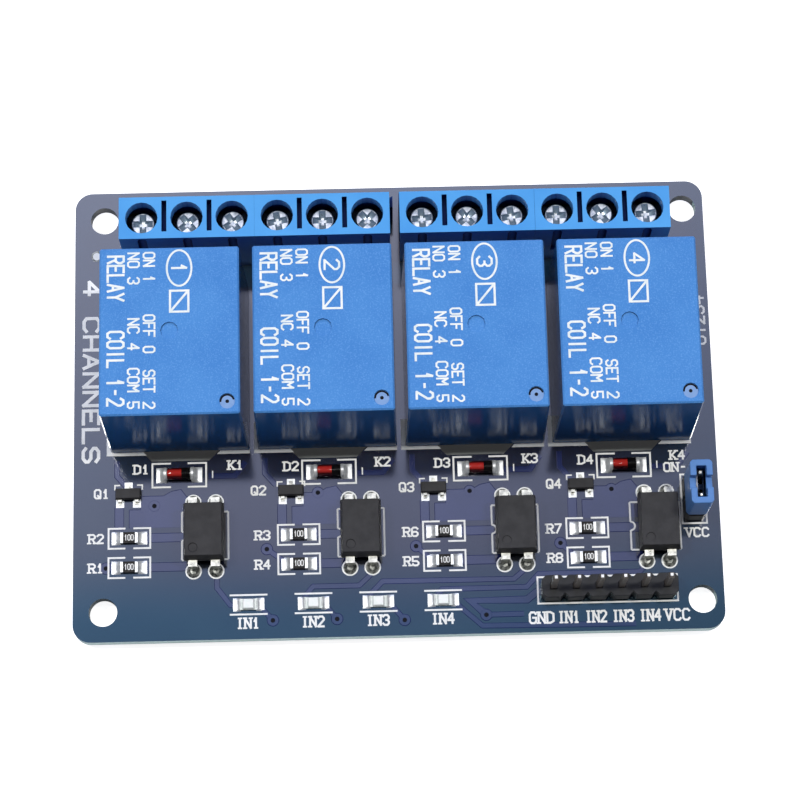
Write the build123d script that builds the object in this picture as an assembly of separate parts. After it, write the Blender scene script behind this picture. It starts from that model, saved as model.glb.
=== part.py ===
from build123d import *
from math import atan2, degrees, radians, tan
import os

# Four-channel relay module board, in millimetres.
# X runs along the row of relays, +Y points at the screw terminals, and Z is up.
# The origin lies under the middle of the board, level with the lead tips that it rests on.

# Board
BOARD_THICKNESS = 1.6
BOARD_CORNER = 2.0
LEAD_TAIL = 2.0
LEAD_CLEARANCE = 0.12
HOLE_FACE_COUNT = 6
MOUNT_HOLE = 3.2
MOUNT_INSET_LEFT = 3.4
MOUNT_INSET_RIGHT = 2.45
MOUNT_INSET_Y = 3.38
RELAY_MARGIN_LEFT = 4.5
RELAY_MARGIN_RIGHT = 3.1
BLOCK_MARGIN = 2.5
BLOCK_TO_RELAY = 2.9

# Isolation slots, milled through the board round each common contact
SLOT_WIDTH = 1.6
SLOT_REACH = 1.35
SLOT_FRONT = 6.5
SLOT_DEPTH = 2.4
SLOT_LEG_ANGLE = 45

# Relays
CHANNELS = 4
RELAY_LENGTH = 19.0
RELAY_WIDTH = 15.3
RELAY_HEIGHT = 15.5
RELAY_GAP = 1.46
RELAY_STANDOFF = 0.3
RELAY_EDGE = 0.18
RELAY_DRAFT = 0.25
RELAY_WALL = 0.9
RELAY_BASE = 1.2
RELAY_SEAL = 0.3
RELAY_FIT = 0.05
RELAY_FOOT = 1.0
GATE_MARK = 1.9
GATE_DEPTH = 0.25
VENT_MARK = 1.7
VENT_DEPTH = 0.2
VENT_INSET = 1.4
MARK_FACE_COUNT = 12
RELAY_LEAD_WIDTH = 1.0
RELAY_LEAD_THICKNESS = 0.5
COMMON_INSET = 2.4
COIL_INSET = 4.4
CONTACT_INSET = 2.4
SIDE_LEAD_INSET = 1.55

# Screw terminal blocks
BLOCKS = 4
POLES = 3
POLE_PITCH = 5.08
BLOCK_DEPTH = 6.6
BLOCK_HEIGHT = 10.4
BLOCK_TOP_DEPTH = 4.9
BLOCK_NOSE = 5.2
BLOCK_PAIR_GAP = 1.1
BLOCK_ROW_SHIFT = 0.5
BLOCK_WALL = 0.8
BLOCK_BACK_RIM = 0.45
WELL = 3.6
WELL_ROOF = 1.7
WELL_FACE_COUNT = 20
POLE_SLIT = 0.55
POLE_SLIT_DEPTH = 1.6
ENTRY_WIDTH = 3.4
ENTRY_SILL = 1.0
SIGHT_GROOVE = 1.0
SIGHT_GROOVE_DEPTH = 0.45
SIGHT_GROOVE_SILL = 3.0
SIGHT_GROOVE_LINTEL = 0.35
RIB_WIDTH = 1.0
RIB_REACH = 0.4
RIB_CLEARANCE = 0.06

# Rising clamps: the screw turns on the contact strip and lifts the cage
SCREW = 2.6
SCREW_DEPTH = 2.2
SCREW_RUN = 0.06
SCREW_FACE_COUNT = 16
DRIVE_SLOT = 0.55
DRIVE_DEPTH = 0.7
DRIVE_RIM = 0.25
CAGE_PLAY = 0.1
CAGE_TOP = 1.1
CAGE_FLOOR = 0.7
CAGE_SIDE = 0.6
CAGE_GROUND = 0.3
CLAMP_RISE = 2.0
STRIP_THICKNESS = 0.6
STRIP_WIDTH = 2.2
STRIP_GAP = 0.05
BLOCK_LEAD = 1.0

# Optocouplers, one to a channel
OPTO_WIDTH = 4.6
OPTO_HEIGHT = 3.4
OPTO_STANDOFF = 0.5
OPTO_DRAFT = 0.25
OPTO_ROWS = 7.62
OPTO_LEAD_BEND = 0.56
OPTO_PITCH = 2.54
OPTO_LEAD = 0.5
OPTO_SHOULDER = 1.0
OPTO_LEAD_THICKNESS = 0.3
OPTO_SHOULDER_DROP = 1.0
OPTO_MARK = 1.0
OPTO_MARK_DEPTH = 0.12
OPTO_MARK_INSET = 1.15
OPTO_OFFSET_X = (2.75, 3.6, 4.25, 3.55)
OPTO_FROM_RELAY = 10.1
OPTO_LEADS_TO_HEADER = 3.34

# Drive transistors
TRANSISTOR_LENGTH = 2.9
TRANSISTOR_WIDTH = 1.3
TRANSISTOR_HEIGHT = 1.0
TRANSISTOR_STANDOFF = 0.1
TRANSISTOR_DRAFT = 0.1
TRANSISTOR_LEAD = 0.42
TRANSISTOR_LEAD_THICKNESS = 0.14
TRANSISTOR_SPREAD = 1.9
TRANSISTOR_REACH = 0.55
TRANSISTOR_FOOT = 0.3
TRANSISTOR_OFFSET_X = (-5.9, -4.25, -4.85, -4.9)
TRANSISTOR_FROM_RELAY = 5.2

# Glass diodes
DIODE_LENGTH = 3.5
DIODE_CAP = 1.46
DIODE_CAP_LENGTH = 0.45
DIODE_GLASS = 1.36
DIODE_FACE_COUNT = 12
DIODE_OFFSET_X = (-0.15, 0.1, 0.55, 0.1)
DIODE_FROM_RELAY = 3.0

# Chip resistors, two to a channel
RESISTOR_LENGTH = 2.0
RESISTOR_WIDTH = 1.25
RESISTOR_HEIGHT = 0.55
RESISTOR_END = 0.35
RESISTOR_OFFSET_X = (-5.8, -3.45, -3.8, -4.35)
RESISTOR_FROM_RELAY = 10.2
RESISTOR_SPACING = 3.37

# Signal lamps
LAMP_LENGTH = 2.0
LAMP_WIDTH = 1.25
LAMP_BASE = 0.35
LAMP_LENS = 0.5
LAMP_LENS_LENGTH = 1.35
LAMP_LENS_DRAFT = 0.12
LAMP_PITCH = 7.28
LAMP_TO_HEADER = 12.27
LAMP_FROM_FRONT = 3.9

# Pin headers
PIN_PITCH = 2.54
PIN = 0.64
PIN_POINT = 0.4
HEADER_HEIGHT = 2.5
HEADER_WIDTH = 2.5
HEADER_NOTCH = 0.45
HEADER_BORE_GAP = 0.03
HEADER_PIN_COUNT = 6
HEADER_PIN_REACH = 5.2
HEADER_FROM_RIGHT = 6.64
HEADER_FROM_FRONT = 4.75
JUMPER_PIN_COUNT = 2
JUMPER_TO_OPTO = 0.72
JUMPER_FROM_RELAY = 7.1

# Jumper cap
CAP_WIDTH = 2.5
CAP_LENGTH = 4.95
CAP_HEIGHT = 6.0
CAP_WALL = 0.5
CAP_LIFT = 0.3
CAP_EDGE = 0.3
CAP_SADDLE = 1.35
CAP_SADDLE_DEPTH = 1.1
CAP_WINDOW = 1.1
CAP_WINDOW_LENGTH = 3.5
CAP_ROOF = 1.3
CLIP_THICKNESS = 0.2
CLIP_GAP = 0.03
CLIP_BRIDGE = 0.6
CLIP_STEP = 1.6

# Places worked out from the sizes above
BOARD_TOP = LEAD_TAIL + BOARD_THICKNESS
RELAY_PITCH = RELAY_WIDTH + RELAY_GAP
RELAY_ROW = CHANNELS * RELAY_WIDTH + (CHANNELS - 1) * RELAY_GAP
BOARD_LENGTH = RELAY_MARGIN_LEFT + RELAY_ROW + RELAY_MARGIN_RIGHT
OPTO_LENGTH = OPTO_ROWS - 2 * OPTO_LEAD_BEND
CONTROL_DEPTH = OPTO_FROM_RELAY + OPTO_ROWS / 2 + OPTO_LEADS_TO_HEADER + HEADER_FROM_FRONT
BOARD_WIDTH = BLOCK_MARGIN + BLOCK_DEPTH + BLOCK_TO_RELAY + RELAY_LENGTH + CONTROL_DEPTH
BOARD_LEFT = -BOARD_LENGTH / 2
BOARD_RIGHT = BOARD_LENGTH / 2
BOARD_FRONT = -BOARD_WIDTH / 2
BOARD_BACK = BOARD_WIDTH / 2
RELAY_FRONT = BOARD_FRONT + CONTROL_DEPTH
RELAY_MIDDLE = RELAY_FRONT + RELAY_LENGTH / 2
RELAY_X = [BOARD_LEFT + RELAY_MARGIN_LEFT + RELAY_WIDTH / 2 + i * RELAY_PITCH for i in range(CHANNELS)]
RELAY_UNDER = BOARD_TOP + RELAY_STANDOFF
BASE_UNDER = RELAY_UNDER + RELAY_SEAL
RELAY_TOP = RELAY_UNDER + RELAY_HEIGHT

BLOCK_FRONT = RELAY_FRONT + RELAY_LENGTH + BLOCK_TO_RELAY
BLOCK_BACK = BLOCK_FRONT + BLOCK_DEPTH
BLOCK_TOP = BOARD_TOP + BLOCK_HEIGHT
BLOCK_WIDTH = POLES * POLE_PITCH
BLOCK_ROW = BLOCKS * BLOCK_WIDTH + BLOCK_PAIR_GAP
SCREW_Y = BLOCK_FRONT + BLOCK_TOP_DEPTH / 2
CAVITY_WIDTH = SCREW + 2 * SCREW_RUN + 2 * CAGE_SIDE + 2 * CAGE_PLAY
CAVITY_FRONT = BLOCK_FRONT + BLOCK_WALL
CAVITY_BACK = BLOCK_FRONT + BLOCK_TOP_DEPTH - BLOCK_BACK_RIM
CAVITY_TOP = BLOCK_TOP - WELL_ROOF
SCREW_TOP = BLOCK_TOP - SCREW_DEPTH
CAGE_WIDTH = CAVITY_WIDTH - 2 * CAGE_PLAY
CAGE_UNDER = BOARD_TOP + CAGE_GROUND
CAGE_HEAD = SCREW_TOP - CLAMP_RISE
STRIP_TOP = CAGE_HEAD - CAGE_TOP - STRIP_GAP
STRIP_FRONT = CAVITY_FRONT + CAGE_PLAY
CAGE_FRONT = STRIP_FRONT + STRIP_THICKNESS + CAGE_PLAY
CAGE_BACK = CAVITY_BACK - CAGE_PLAY


def block_left(block):
    pair_gap = BLOCK_PAIR_GAP if block >= BLOCKS // 2 else 0
    return BLOCK_ROW_SHIFT - BLOCK_ROW / 2 + block * BLOCK_WIDTH + pair_gap


def pole_x(block, pole):
    return block_left(block) + (pole + 0.5) * POLE_PITCH


POLE_X = [pole_x(block, pole) for block in range(BLOCKS) for pole in range(POLES)]
OPTO_X = [x + shift for x, shift in zip(RELAY_X, OPTO_OFFSET_X)]
OPTO_Y = RELAY_FRONT - OPTO_FROM_RELAY
TRANSISTOR_X = [x + shift for x, shift in zip(RELAY_X, TRANSISTOR_OFFSET_X)]
TRANSISTOR_Y = RELAY_FRONT - TRANSISTOR_FROM_RELAY
DIODE_X = [x + shift for x, shift in zip(RELAY_X, DIODE_OFFSET_X)]
DIODE_Y = RELAY_FRONT - DIODE_FROM_RELAY
RESISTOR_X = [x + shift for x, shift in zip(RELAY_X, RESISTOR_OFFSET_X)]
RESISTOR_ROWS = [RELAY_FRONT - RESISTOR_FROM_RELAY - row * RESISTOR_SPACING for row in range(2)]
HEADER_LEFT = BOARD_RIGHT - HEADER_FROM_RIGHT - (HEADER_PIN_COUNT - 1) * PIN_PITCH
HEADER_X = [HEADER_LEFT + i * PIN_PITCH for i in range(HEADER_PIN_COUNT)]
HEADER_Y = BOARD_FRONT + HEADER_FROM_FRONT
LAST_LAMP_X = HEADER_LEFT - LAMP_TO_HEADER
LAMP_X = [LAST_LAMP_X - (CHANNELS - 1 - i) * LAMP_PITCH for i in range(CHANNELS)]
LAMP_Y = BOARD_FRONT + LAMP_FROM_FRONT
JUMPER_X = OPTO_X[-1] + OPTO_WIDTH / 2 + JUMPER_TO_OPTO + HEADER_WIDTH / 2
JUMPER_Y = RELAY_FRONT - JUMPER_FROM_RELAY
JUMPER_PIN_Y = [JUMPER_Y + (i - (JUMPER_PIN_COUNT - 1) / 2) * PIN_PITCH for i in range(JUMPER_PIN_COUNT)]
HEADER_TOP = BOARD_TOP + HEADER_HEIGHT
CAP_UNDER = HEADER_TOP + CAP_LIFT
CAP_TOP = CAP_UNDER + CAP_HEIGHT


def block(x0, x1, y0, y1, z0, z1):
    """A plain block between two corners."""
    middle = Pos((x0 + x1) / 2, (y0 + y1) / 2, (z0 + z1) / 2)
    return middle * Box(x1 - x0, y1 - y0, z1 - z0)


def bore(x, y, z0, z1, diameter, faces):
    """The cutter of an upright hole, with flats that leave the whole diameter free."""
    return extrude(Pos(x, y, z0) * RegularPolygon(diameter / 2, faces, major_radius=False), z1 - z0)


def drafted(x, y, z, length, width, rise, draft):
    """A block on a rectangular foot whose four sides lean in as it rises."""
    foot = Pos(x, y, z) * Rectangle(length, width)
    return extrude(foot, rise, taper=degrees(atan2(draft, rise)))


def moulded_body(x, y, under, length, width, height, draft):
    """A moulded package: widest at its parting line, drawn in above and below it."""
    waist = under + height / 2
    upper = drafted(x, y, waist, length, width, height / 2, draft)
    return upper + mirror(upper, about=Plane.XY.offset(waist))


def save(node, *solids):
    shape = solids[0] if len(solids) == 1 else Compound(children=list(solids))
    export_step(shape, f"parts/{node}.step")


def lead_hole_size(across, through):
    """The drill that a flat lead passes with its clearance all round."""
    return (across**2 + through**2) ** 0.5 + 2 * LEAD_CLEARANCE


def relay_lead_places(x):
    side = RELAY_WIDTH / 2 - SIDE_LEAD_INSET
    back = RELAY_FRONT + RELAY_LENGTH
    places = [(x, RELAY_FRONT + COMMON_INSET)]
    for hand in (-1, 1):
        places.append((x + hand * side, RELAY_FRONT + COIL_INSET))
        places.append((x + hand * side, back - CONTACT_INSET))
    return places


def opto_lead_places(x):
    return [
        (x + across * OPTO_PITCH / 2, OPTO_Y + side * OPTO_ROWS / 2, side)
        for across in (-1, 1)
        for side in (-1, 1)
    ]


def mount_places():
    left = BOARD_LEFT + MOUNT_INSET_LEFT
    right = BOARD_RIGHT - MOUNT_INSET_RIGHT
    front = BOARD_FRONT + MOUNT_INSET_Y
    back = BOARD_BACK - MOUNT_INSET_Y
    return [(left, front), (right, front), (left, back), (right, back)]


def isolation_slot(x):
    """The cranked slot that parts a relay's common contact from the control side."""
    front = RELAY_FRONT - SLOT_REACH
    back = front + SLOT_DEPTH
    inner_front = front + SLOT_WIDTH
    lean = 1 / tan(radians(SLOT_LEG_ANGLE))
    outer = SLOT_FRONT / 2
    inner = outer - SLOT_WIDTH * tan(radians(SLOT_LEG_ANGLE / 2))
    outer_end = outer + SLOT_DEPTH * lean
    inner_end = inner + (SLOT_DEPTH - SLOT_WIDTH) * lean
    outline = Polyline(
        (x - outer, front), (x + outer, front), (x + outer_end, back), (x + inner_end, back),
        (x + inner, inner_front), (x - inner, inner_front), (x - inner_end, back), (x - outer_end, back),
        close=True,
    )
    return make_face(outline)


def make_board():
    outline = RectangleRounded(BOARD_LENGTH, BOARD_WIDTH, BOARD_CORNER)
    for x, y in mount_places():
        outline -= Pos(x, y) * Circle(MOUNT_HOLE / 2)
    for x in RELAY_X:
        outline -= isolation_slot(x)
    relay_drill = lead_hole_size(RELAY_LEAD_WIDTH, RELAY_LEAD_THICKNESS)
    block_drill = lead_hole_size(BLOCK_LEAD, STRIP_THICKNESS)
    opto_drill = lead_hole_size(OPTO_LEAD, OPTO_LEAD_THICKNESS)
    pin_drill = lead_hole_size(PIN, PIN)
    drills = []
    for x in RELAY_X:
        drills += [(px, py, relay_drill) for px, py in relay_lead_places(x)]
    strip_y = STRIP_FRONT + STRIP_THICKNESS / 2
    drills += [(x, strip_y, block_drill) for x in POLE_X]
    for x in OPTO_X:
        drills += [(px, py, opto_drill) for px, py, side in opto_lead_places(x)]
    drills += [(x, HEADER_Y, pin_drill) for x in HEADER_X]
    drills += [(JUMPER_X, y, pin_drill) for y in JUMPER_PIN_Y]
    for x, y, size in drills:
        outline -= Pos(x, y) * RegularPolygon(size / 2, HOLE_FACE_COUNT, major_radius=False)
    return extrude(Pos(0, 0, LEAD_TAIL) * outline, BOARD_THICKNESS)


def make_relay_cover(x):
    half_width = RELAY_WIDTH / 2
    back = RELAY_FRONT + RELAY_LENGTH
    foot_width = RELAY_WIDTH + 2 * RELAY_DRAFT
    foot_length = RELAY_LENGTH + 2 * RELAY_DRAFT
    cover = drafted(x, RELAY_MIDDLE, RELAY_UNDER, foot_width, foot_length, RELAY_HEIGHT, RELAY_DRAFT)
    corners, top_ring = cover.edges().group_by(Axis.Z)[1:]
    cover = chamfer(corners + top_ring, RELAY_EDGE)
    mouth_top = BASE_UNDER + RELAY_BASE
    inner = half_width - RELAY_WALL
    cover -= block(
        x - inner, x + inner, RELAY_FRONT + RELAY_WALL, back - RELAY_WALL, RELAY_UNDER, mouth_top
    )
    cover -= bore(x, RELAY_MIDDLE, RELAY_TOP - GATE_DEPTH, RELAY_TOP, GATE_MARK, MARK_FACE_COUNT)
    vent_x = x + half_width - VENT_INSET
    vent_y = RELAY_FRONT + VENT_INSET
    return cover - bore(vent_x, vent_y, RELAY_TOP - VENT_DEPTH, RELAY_TOP, VENT_MARK, MARK_FACE_COUNT)


def make_relay_base(x):
    half_width = RELAY_WIDTH / 2 - RELAY_WALL - RELAY_FIT
    front = RELAY_FRONT + RELAY_WALL + RELAY_FIT
    back = RELAY_FRONT + RELAY_LENGTH - RELAY_WALL - RELAY_FIT
    base = block(x - half_width, x + half_width, front, back, BASE_UNDER, BASE_UNDER + RELAY_BASE)
    for left in (x - half_width, x + half_width - RELAY_FOOT):
        for near in (front, back - RELAY_FOOT):
            base += block(left, left + RELAY_FOOT, near, near + RELAY_FOOT, BOARD_TOP, BASE_UNDER)
    return base


def make_relay_leads():
    return [
        Pos(px, py, BASE_UNDER / 2) * Box(RELAY_LEAD_WIDTH, RELAY_LEAD_THICKNESS, BASE_UNDER)
        for x in RELAY_X
        for px, py in relay_lead_places(x)
    ]


def dovetail(x, reach, swell):
    """The interlocking rib on a block's side, or the cutter of its groove."""
    y = (CAVITY_BACK + BLOCK_BACK) / 2
    root = RIB_WIDTH / 2 + swell
    tip = RIB_WIDTH / 2 + RIB_REACH / 2 + swell
    outline = Polyline(
        (x, y - root), (x + reach, y - tip), (x + reach, y + tip), (x, y + root), close=True
    )
    return extrude(Pos(0, 0, BOARD_TOP) * make_face(outline), BLOCK_NOSE)


def make_block_housing(number):
    left = block_left(number)
    right = left + BLOCK_WIDTH
    top_back = BLOCK_FRONT + BLOCK_TOP_DEPTH
    nose = BOARD_TOP + BLOCK_NOSE
    profile = Polyline(
        (BLOCK_FRONT, BOARD_TOP),
        (BLOCK_BACK, BOARD_TOP),
        (BLOCK_BACK, nose),
        (top_back, BLOCK_TOP),
        (BLOCK_FRONT, BLOCK_TOP),
        close=True,
    )
    housing = extrude(Plane.YZ.offset(left) * make_face(profile), BLOCK_WIDTH)
    housing += dovetail(right, RIB_REACH, 0)
    housing -= dovetail(left, RIB_REACH + RIB_CLEARANCE, RIB_CLEARANCE)
    for pole in range(POLES):
        housing = cut_pole(housing, pole_x(number, pole))
    half = POLE_SLIT / 2
    for gap in range(1, POLES):
        x = left + gap * POLE_PITCH
        housing -= block(
            x - half, x + half, CAVITY_FRONT, CAVITY_BACK, BLOCK_TOP - POLE_SLIT_DEPTH, BLOCK_TOP
        )
    return housing


def cut_pole(housing, x):
    """One pole's screw well, clamp chamber, wire entry and sight groove."""
    half = CAVITY_WIDTH / 2
    housing -= block(x - half, x + half, CAVITY_FRONT, CAVITY_BACK, BOARD_TOP, CAVITY_TOP)
    housing -= bore(x, SCREW_Y, CAVITY_TOP, BLOCK_TOP, WELL, WELL_FACE_COUNT)
    entry = ENTRY_WIDTH / 2
    entry_top = STRIP_TOP - STRIP_THICKNESS
    housing -= block(x - entry, x + entry, CAVITY_BACK, BLOCK_BACK, BOARD_TOP + ENTRY_SILL, entry_top)
    half = SIGHT_GROOVE / 2
    foot = BOARD_TOP + SIGHT_GROOVE_SILL
    crown = BLOCK_TOP - SIGHT_GROOVE_LINTEL
    arch = Polyline(
        (x - half, foot), (x + half, foot), (x + half, crown - half),
        (x + half / 2, crown), (x - half / 2, crown), (x - half, crown - half),
        close=True,
    )
    groove = extrude(Plane.XZ.offset(-BLOCK_FRONT) * make_face(arch), -SIGHT_GROOVE_DEPTH)
    return housing - groove


def make_clamp_screw(x):
    tip = STRIP_TOP + STRIP_GAP / 2
    screw = extrude(Pos(x, SCREW_Y, tip) * RegularPolygon(SCREW / 2, SCREW_FACE_COUNT), SCREW_TOP - tip)
    run = SCREW / 2 - DRIVE_RIM
    across = DRIVE_SLOT / 2
    for wide, deep in ((run, across), (across, run)):
        screw -= block(
            x - wide, x + wide, SCREW_Y - deep, SCREW_Y + deep, SCREW_TOP - DRIVE_DEPTH, SCREW_TOP
        )
    return screw


def make_clamp_cage(x):
    half = CAGE_WIDTH / 2
    cage = block(x - half, x + half, CAGE_FRONT, CAGE_BACK, CAGE_UNDER, CAGE_HEAD)
    mouth = half - CAGE_SIDE
    cage -= block(
        x - mouth, x + mouth, CAGE_FRONT, CAGE_BACK, CAGE_UNDER + CAGE_FLOOR, CAGE_HEAD - CAGE_TOP
    )
    thread = SCREW + 2 * SCREW_RUN
    return cage - bore(x, SCREW_Y, CAGE_HEAD - CAGE_TOP, CAGE_HEAD, thread, SCREW_FACE_COUNT)


def make_contact_strip(x):
    """A flat tongue through the cage, bent down at the front wall into its solder lead."""
    half = STRIP_WIDTH / 2
    leg_back = STRIP_FRONT + STRIP_THICKNESS
    under = STRIP_TOP - STRIP_THICKNESS
    strip = block(x - half, x + half, STRIP_FRONT, CAVITY_BACK, under, STRIP_TOP)
    strip += block(x - half, x + half, STRIP_FRONT, leg_back, BOARD_TOP, STRIP_TOP)
    lead = BLOCK_LEAD / 2
    return strip + block(x - lead, x + lead, STRIP_FRONT, leg_back, 0, BOARD_TOP)


def make_opto_body(x):
    under = BOARD_TOP + OPTO_STANDOFF
    body = moulded_body(x, OPTO_Y, under, OPTO_WIDTH, OPTO_LENGTH, OPTO_HEIGHT, OPTO_DRAFT)
    top = under + OPTO_HEIGHT
    mark_x = x - OPTO_WIDTH / 2 + OPTO_MARK_INSET
    mark_y = OPTO_Y - OPTO_LENGTH / 2 + OPTO_MARK_INSET
    return body - bore(mark_x, mark_y, top - OPTO_MARK_DEPTH, top, OPTO_MARK, MARK_FACE_COUNT)


def make_opto_leads():
    """Bent flat leads: a wide shoulder at the parting line, narrowed where it enters the board."""
    leads = []
    waist = BOARD_TOP + OPTO_STANDOFF + OPTO_HEIGHT / 2
    top = waist + OPTO_LEAD_THICKNESS / 2
    neck = BOARD_TOP + OPTO_SHOULDER_DROP
    for x in OPTO_X:
        for px, py, side in opto_lead_places(x):
            body_side = OPTO_Y + side * OPTO_LENGTH / 2
            outer = py + side * OPTO_LEAD_THICKNESS / 2
            inner = py - side * OPTO_LEAD_THICKNESS / 2
            wide = OPTO_SHOULDER / 2
            slim = OPTO_LEAD / 2
            near, far = sorted((body_side, outer))
            lead = block(px - wide, px + wide, near, far, top - OPTO_LEAD_THICKNESS, top)
            near, far = sorted((inner, outer))
            lead += block(px - wide, px + wide, near, far, neck, top)
            lead += block(px - slim, px + slim, near, far, 0, neck)
            leads.append(lead)
    return leads


def make_transistor_body(x):
    return moulded_body(
        x, TRANSISTOR_Y, BOARD_TOP + TRANSISTOR_STANDOFF,
        TRANSISTOR_LENGTH, TRANSISTOR_WIDTH, TRANSISTOR_HEIGHT, TRANSISTOR_DRAFT,
    )


def make_gull_lead(x, y, side):
    """A gull-wing lead from a package side down to its pad."""
    waist = BOARD_TOP + TRANSISTOR_STANDOFF + TRANSISTOR_HEIGHT / 2
    thick = TRANSISTOR_LEAD_THICKNESS
    knee = TRANSISTOR_REACH - TRANSISTOR_FOOT
    profile = Polyline(
        (y, waist),
        (y + side * knee, waist),
        (y + side * knee, BOARD_TOP + thick),
        (y + side * TRANSISTOR_REACH, BOARD_TOP + thick),
        (y + side * TRANSISTOR_REACH, BOARD_TOP),
        (y + side * (knee - thick), BOARD_TOP),
        (y + side * (knee - thick), waist - thick),
        (y, waist - thick),
        close=True,
    )
    return extrude(Plane.YZ.offset(x - TRANSISTOR_LEAD / 2) * make_face(profile), TRANSISTOR_LEAD)


def make_transistor_leads():
    leads = []
    front = TRANSISTOR_Y - TRANSISTOR_WIDTH / 2
    back = TRANSISTOR_Y + TRANSISTOR_WIDTH / 2
    for x in TRANSISTOR_X:
        leads.append(make_gull_lead(x - TRANSISTOR_SPREAD / 2, front, -1))
        leads.append(make_gull_lead(x + TRANSISTOR_SPREAD / 2, front, -1))
        leads.append(make_gull_lead(x, back, 1))
    return leads


def lying_drum(x0, x1, diameter):
    """A faceted drum along X on a diode's axis, with a flat towards the board."""
    turn = 180 / DIODE_FACE_COUNT
    outline = RegularPolygon(diameter / 2, DIODE_FACE_COUNT, major_radius=False, rotation=turn)
    section = Plane.YZ.offset(x0) * Pos(DIODE_Y, BOARD_TOP + DIODE_CAP / 2) * outline
    return extrude(section, x1 - x0)


def make_diode_glass(x):
    reach = DIODE_LENGTH / 2 - DIODE_CAP_LENGTH
    return lying_drum(x - reach, x + reach, DIODE_GLASS)


def make_diode_caps(x):
    outer = DIODE_LENGTH / 2
    inner = outer - DIODE_CAP_LENGTH
    return [lying_drum(x - outer, x - inner, DIODE_CAP), lying_drum(x + inner, x + outer, DIODE_CAP)]


def make_resistor(x, y):
    """The ceramic middle of a chip, then its two plated ends."""
    inner = RESISTOR_LENGTH / 2 - RESISTOR_END
    outer = RESISTOR_LENGTH / 2
    half = RESISTOR_WIDTH / 2
    top = BOARD_TOP + RESISTOR_HEIGHT
    spans = ((-inner, inner), (-outer, -inner), (inner, outer))
    return [block(x + a, x + b, y - half, y + half, BOARD_TOP, top) for a, b in spans]


def make_lamp_base(x):
    return Pos(x, LAMP_Y, BOARD_TOP + LAMP_BASE / 2) * Box(LAMP_LENGTH, LAMP_WIDTH, LAMP_BASE)


def make_lamp_lens(x):
    under = BOARD_TOP + LAMP_BASE
    return drafted(x, LAMP_Y, under, LAMP_LENS_LENGTH, LAMP_WIDTH, LAMP_LENS, LAMP_LENS_DRAFT)


def notched_strip(pins):
    """The outline of a pin strip along X, with a notch between every two pins."""
    half = HEADER_WIDTH / 2
    run = PIN_PITCH / 2
    cut = HEADER_NOTCH
    segment = Polyline(
        (-run, half - cut), (-run + cut, half), (run - cut, half), (run, half - cut),
        (run, cut - half), (run - cut, -half), (cut - run, -half), (-run, cut - half),
        close=True,
    )
    face = make_face(segment)
    strip = Sketch()
    for i in range(pins):
        strip += Pos((i - (pins - 1) / 2) * PIN_PITCH, 0) * face
    bore = PIN + 2 * HEADER_BORE_GAP
    for i in range(pins):
        strip -= Pos((i - (pins - 1) / 2) * PIN_PITCH, 0) * Rectangle(bore, bore)
    return strip


def make_pin(x, y):
    """A square pin with a pointed top."""
    shoulder = HEADER_TOP + HEADER_PIN_REACH - PIN_POINT
    half = PIN / 2
    shank = block(x - half, x + half, y - half, y + half, 0, shoulder)
    return shank + drafted(x, y, shoulder, PIN, PIN, PIN_POINT, PIN / 4)


def make_jumper_cap():
    half_width = CAP_WIDTH / 2
    half_length = CAP_LENGTH / 2
    x, y = JUMPER_X, JUMPER_Y
    cap = block(x - half_width, x + half_width, y - half_length, y + half_length, CAP_UNDER, CAP_TOP)
    cap = chamfer(cap.edges().filter_by(Axis.Z), CAP_EDGE)
    inner = half_width - CAP_WALL
    reach = half_length - CAP_WALL
    cap -= block(x - inner, x + inner, y - reach, y + reach, CAP_UNDER, CAP_TOP - CAP_ROOF)
    slot = CAP_WINDOW / 2
    slot_reach = CAP_WINDOW_LENGTH / 2
    cap -= block(x - slot, x + slot, y - slot_reach, y + slot_reach, CAP_TOP - CAP_ROOF, CAP_TOP)
    saddle = CAP_SADDLE / 2
    return cap - block(
        x - half_width, x + half_width, y - saddle, y + saddle, CAP_TOP - CAP_SADDLE_DEPTH, CAP_TOP
    )


def make_jumper_clip():
    """The folded spring contact that joins the two pins inside the cap."""
    x, y = JUMPER_X, JUMPER_Y
    inside = PIN / 2 + CLIP_GAP
    outside = inside + CLIP_THICKNESS
    reach = CAP_WINDOW_LENGTH / 2
    top = CAP_TOP - CAP_ROOF
    low = top - CLIP_STEP
    bridge = CLIP_BRIDGE / 2
    clip = block(x - outside, x - inside, y - reach, y + reach, CAP_UNDER, top)
    clip += block(x + inside, x + outside, y - reach, y + reach, CAP_UNDER, low)
    return clip + block(x - outside, x + outside, y - bridge, y + bridge, low - CLIP_THICKNESS, low)


os.makedirs("parts", exist_ok=True)
save("circuit_board", make_board())
for number, x in enumerate(RELAY_X, 1):
    save(f"relay_cover_{number}", make_relay_cover(x))
    save(f"relay_base_{number}", make_relay_base(x))
save("relay_leads", *make_relay_leads())
for number in range(BLOCKS):
    save(f"terminal_housing_{number + 1}", make_block_housing(number))
for number, x in enumerate(POLE_X, 1):
    save(f"clamp_screw_{number}", make_clamp_screw(x))
    save(f"clamp_cage_{number}", make_clamp_cage(x))
save("contact_strips", *[make_contact_strip(x) for x in POLE_X])
for number, x in enumerate(OPTO_X, 1):
    save(f"optocoupler_{number}", make_opto_body(x))
save("optocoupler_leads", *make_opto_leads())
save("transistors", *[make_transistor_body(x) for x in TRANSISTOR_X])
save("transistor_leads", *make_transistor_leads())
save("diode_glass", *[make_diode_glass(x) for x in DIODE_X])
save("diode_end_caps", *[cap for x in DIODE_X for cap in make_diode_caps(x)])
resistors = [make_resistor(x, y) for y in RESISTOR_ROWS for x in RESISTOR_X]
save("resistors", *[chip[0] for chip in resistors])
save("resistor_ends", *[end for chip in resistors for end in chip[1:]])
save("lamp_bases", *[make_lamp_base(x) for x in LAMP_X])
save("lamp_lenses", *[make_lamp_lens(x) for x in LAMP_X])
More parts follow.
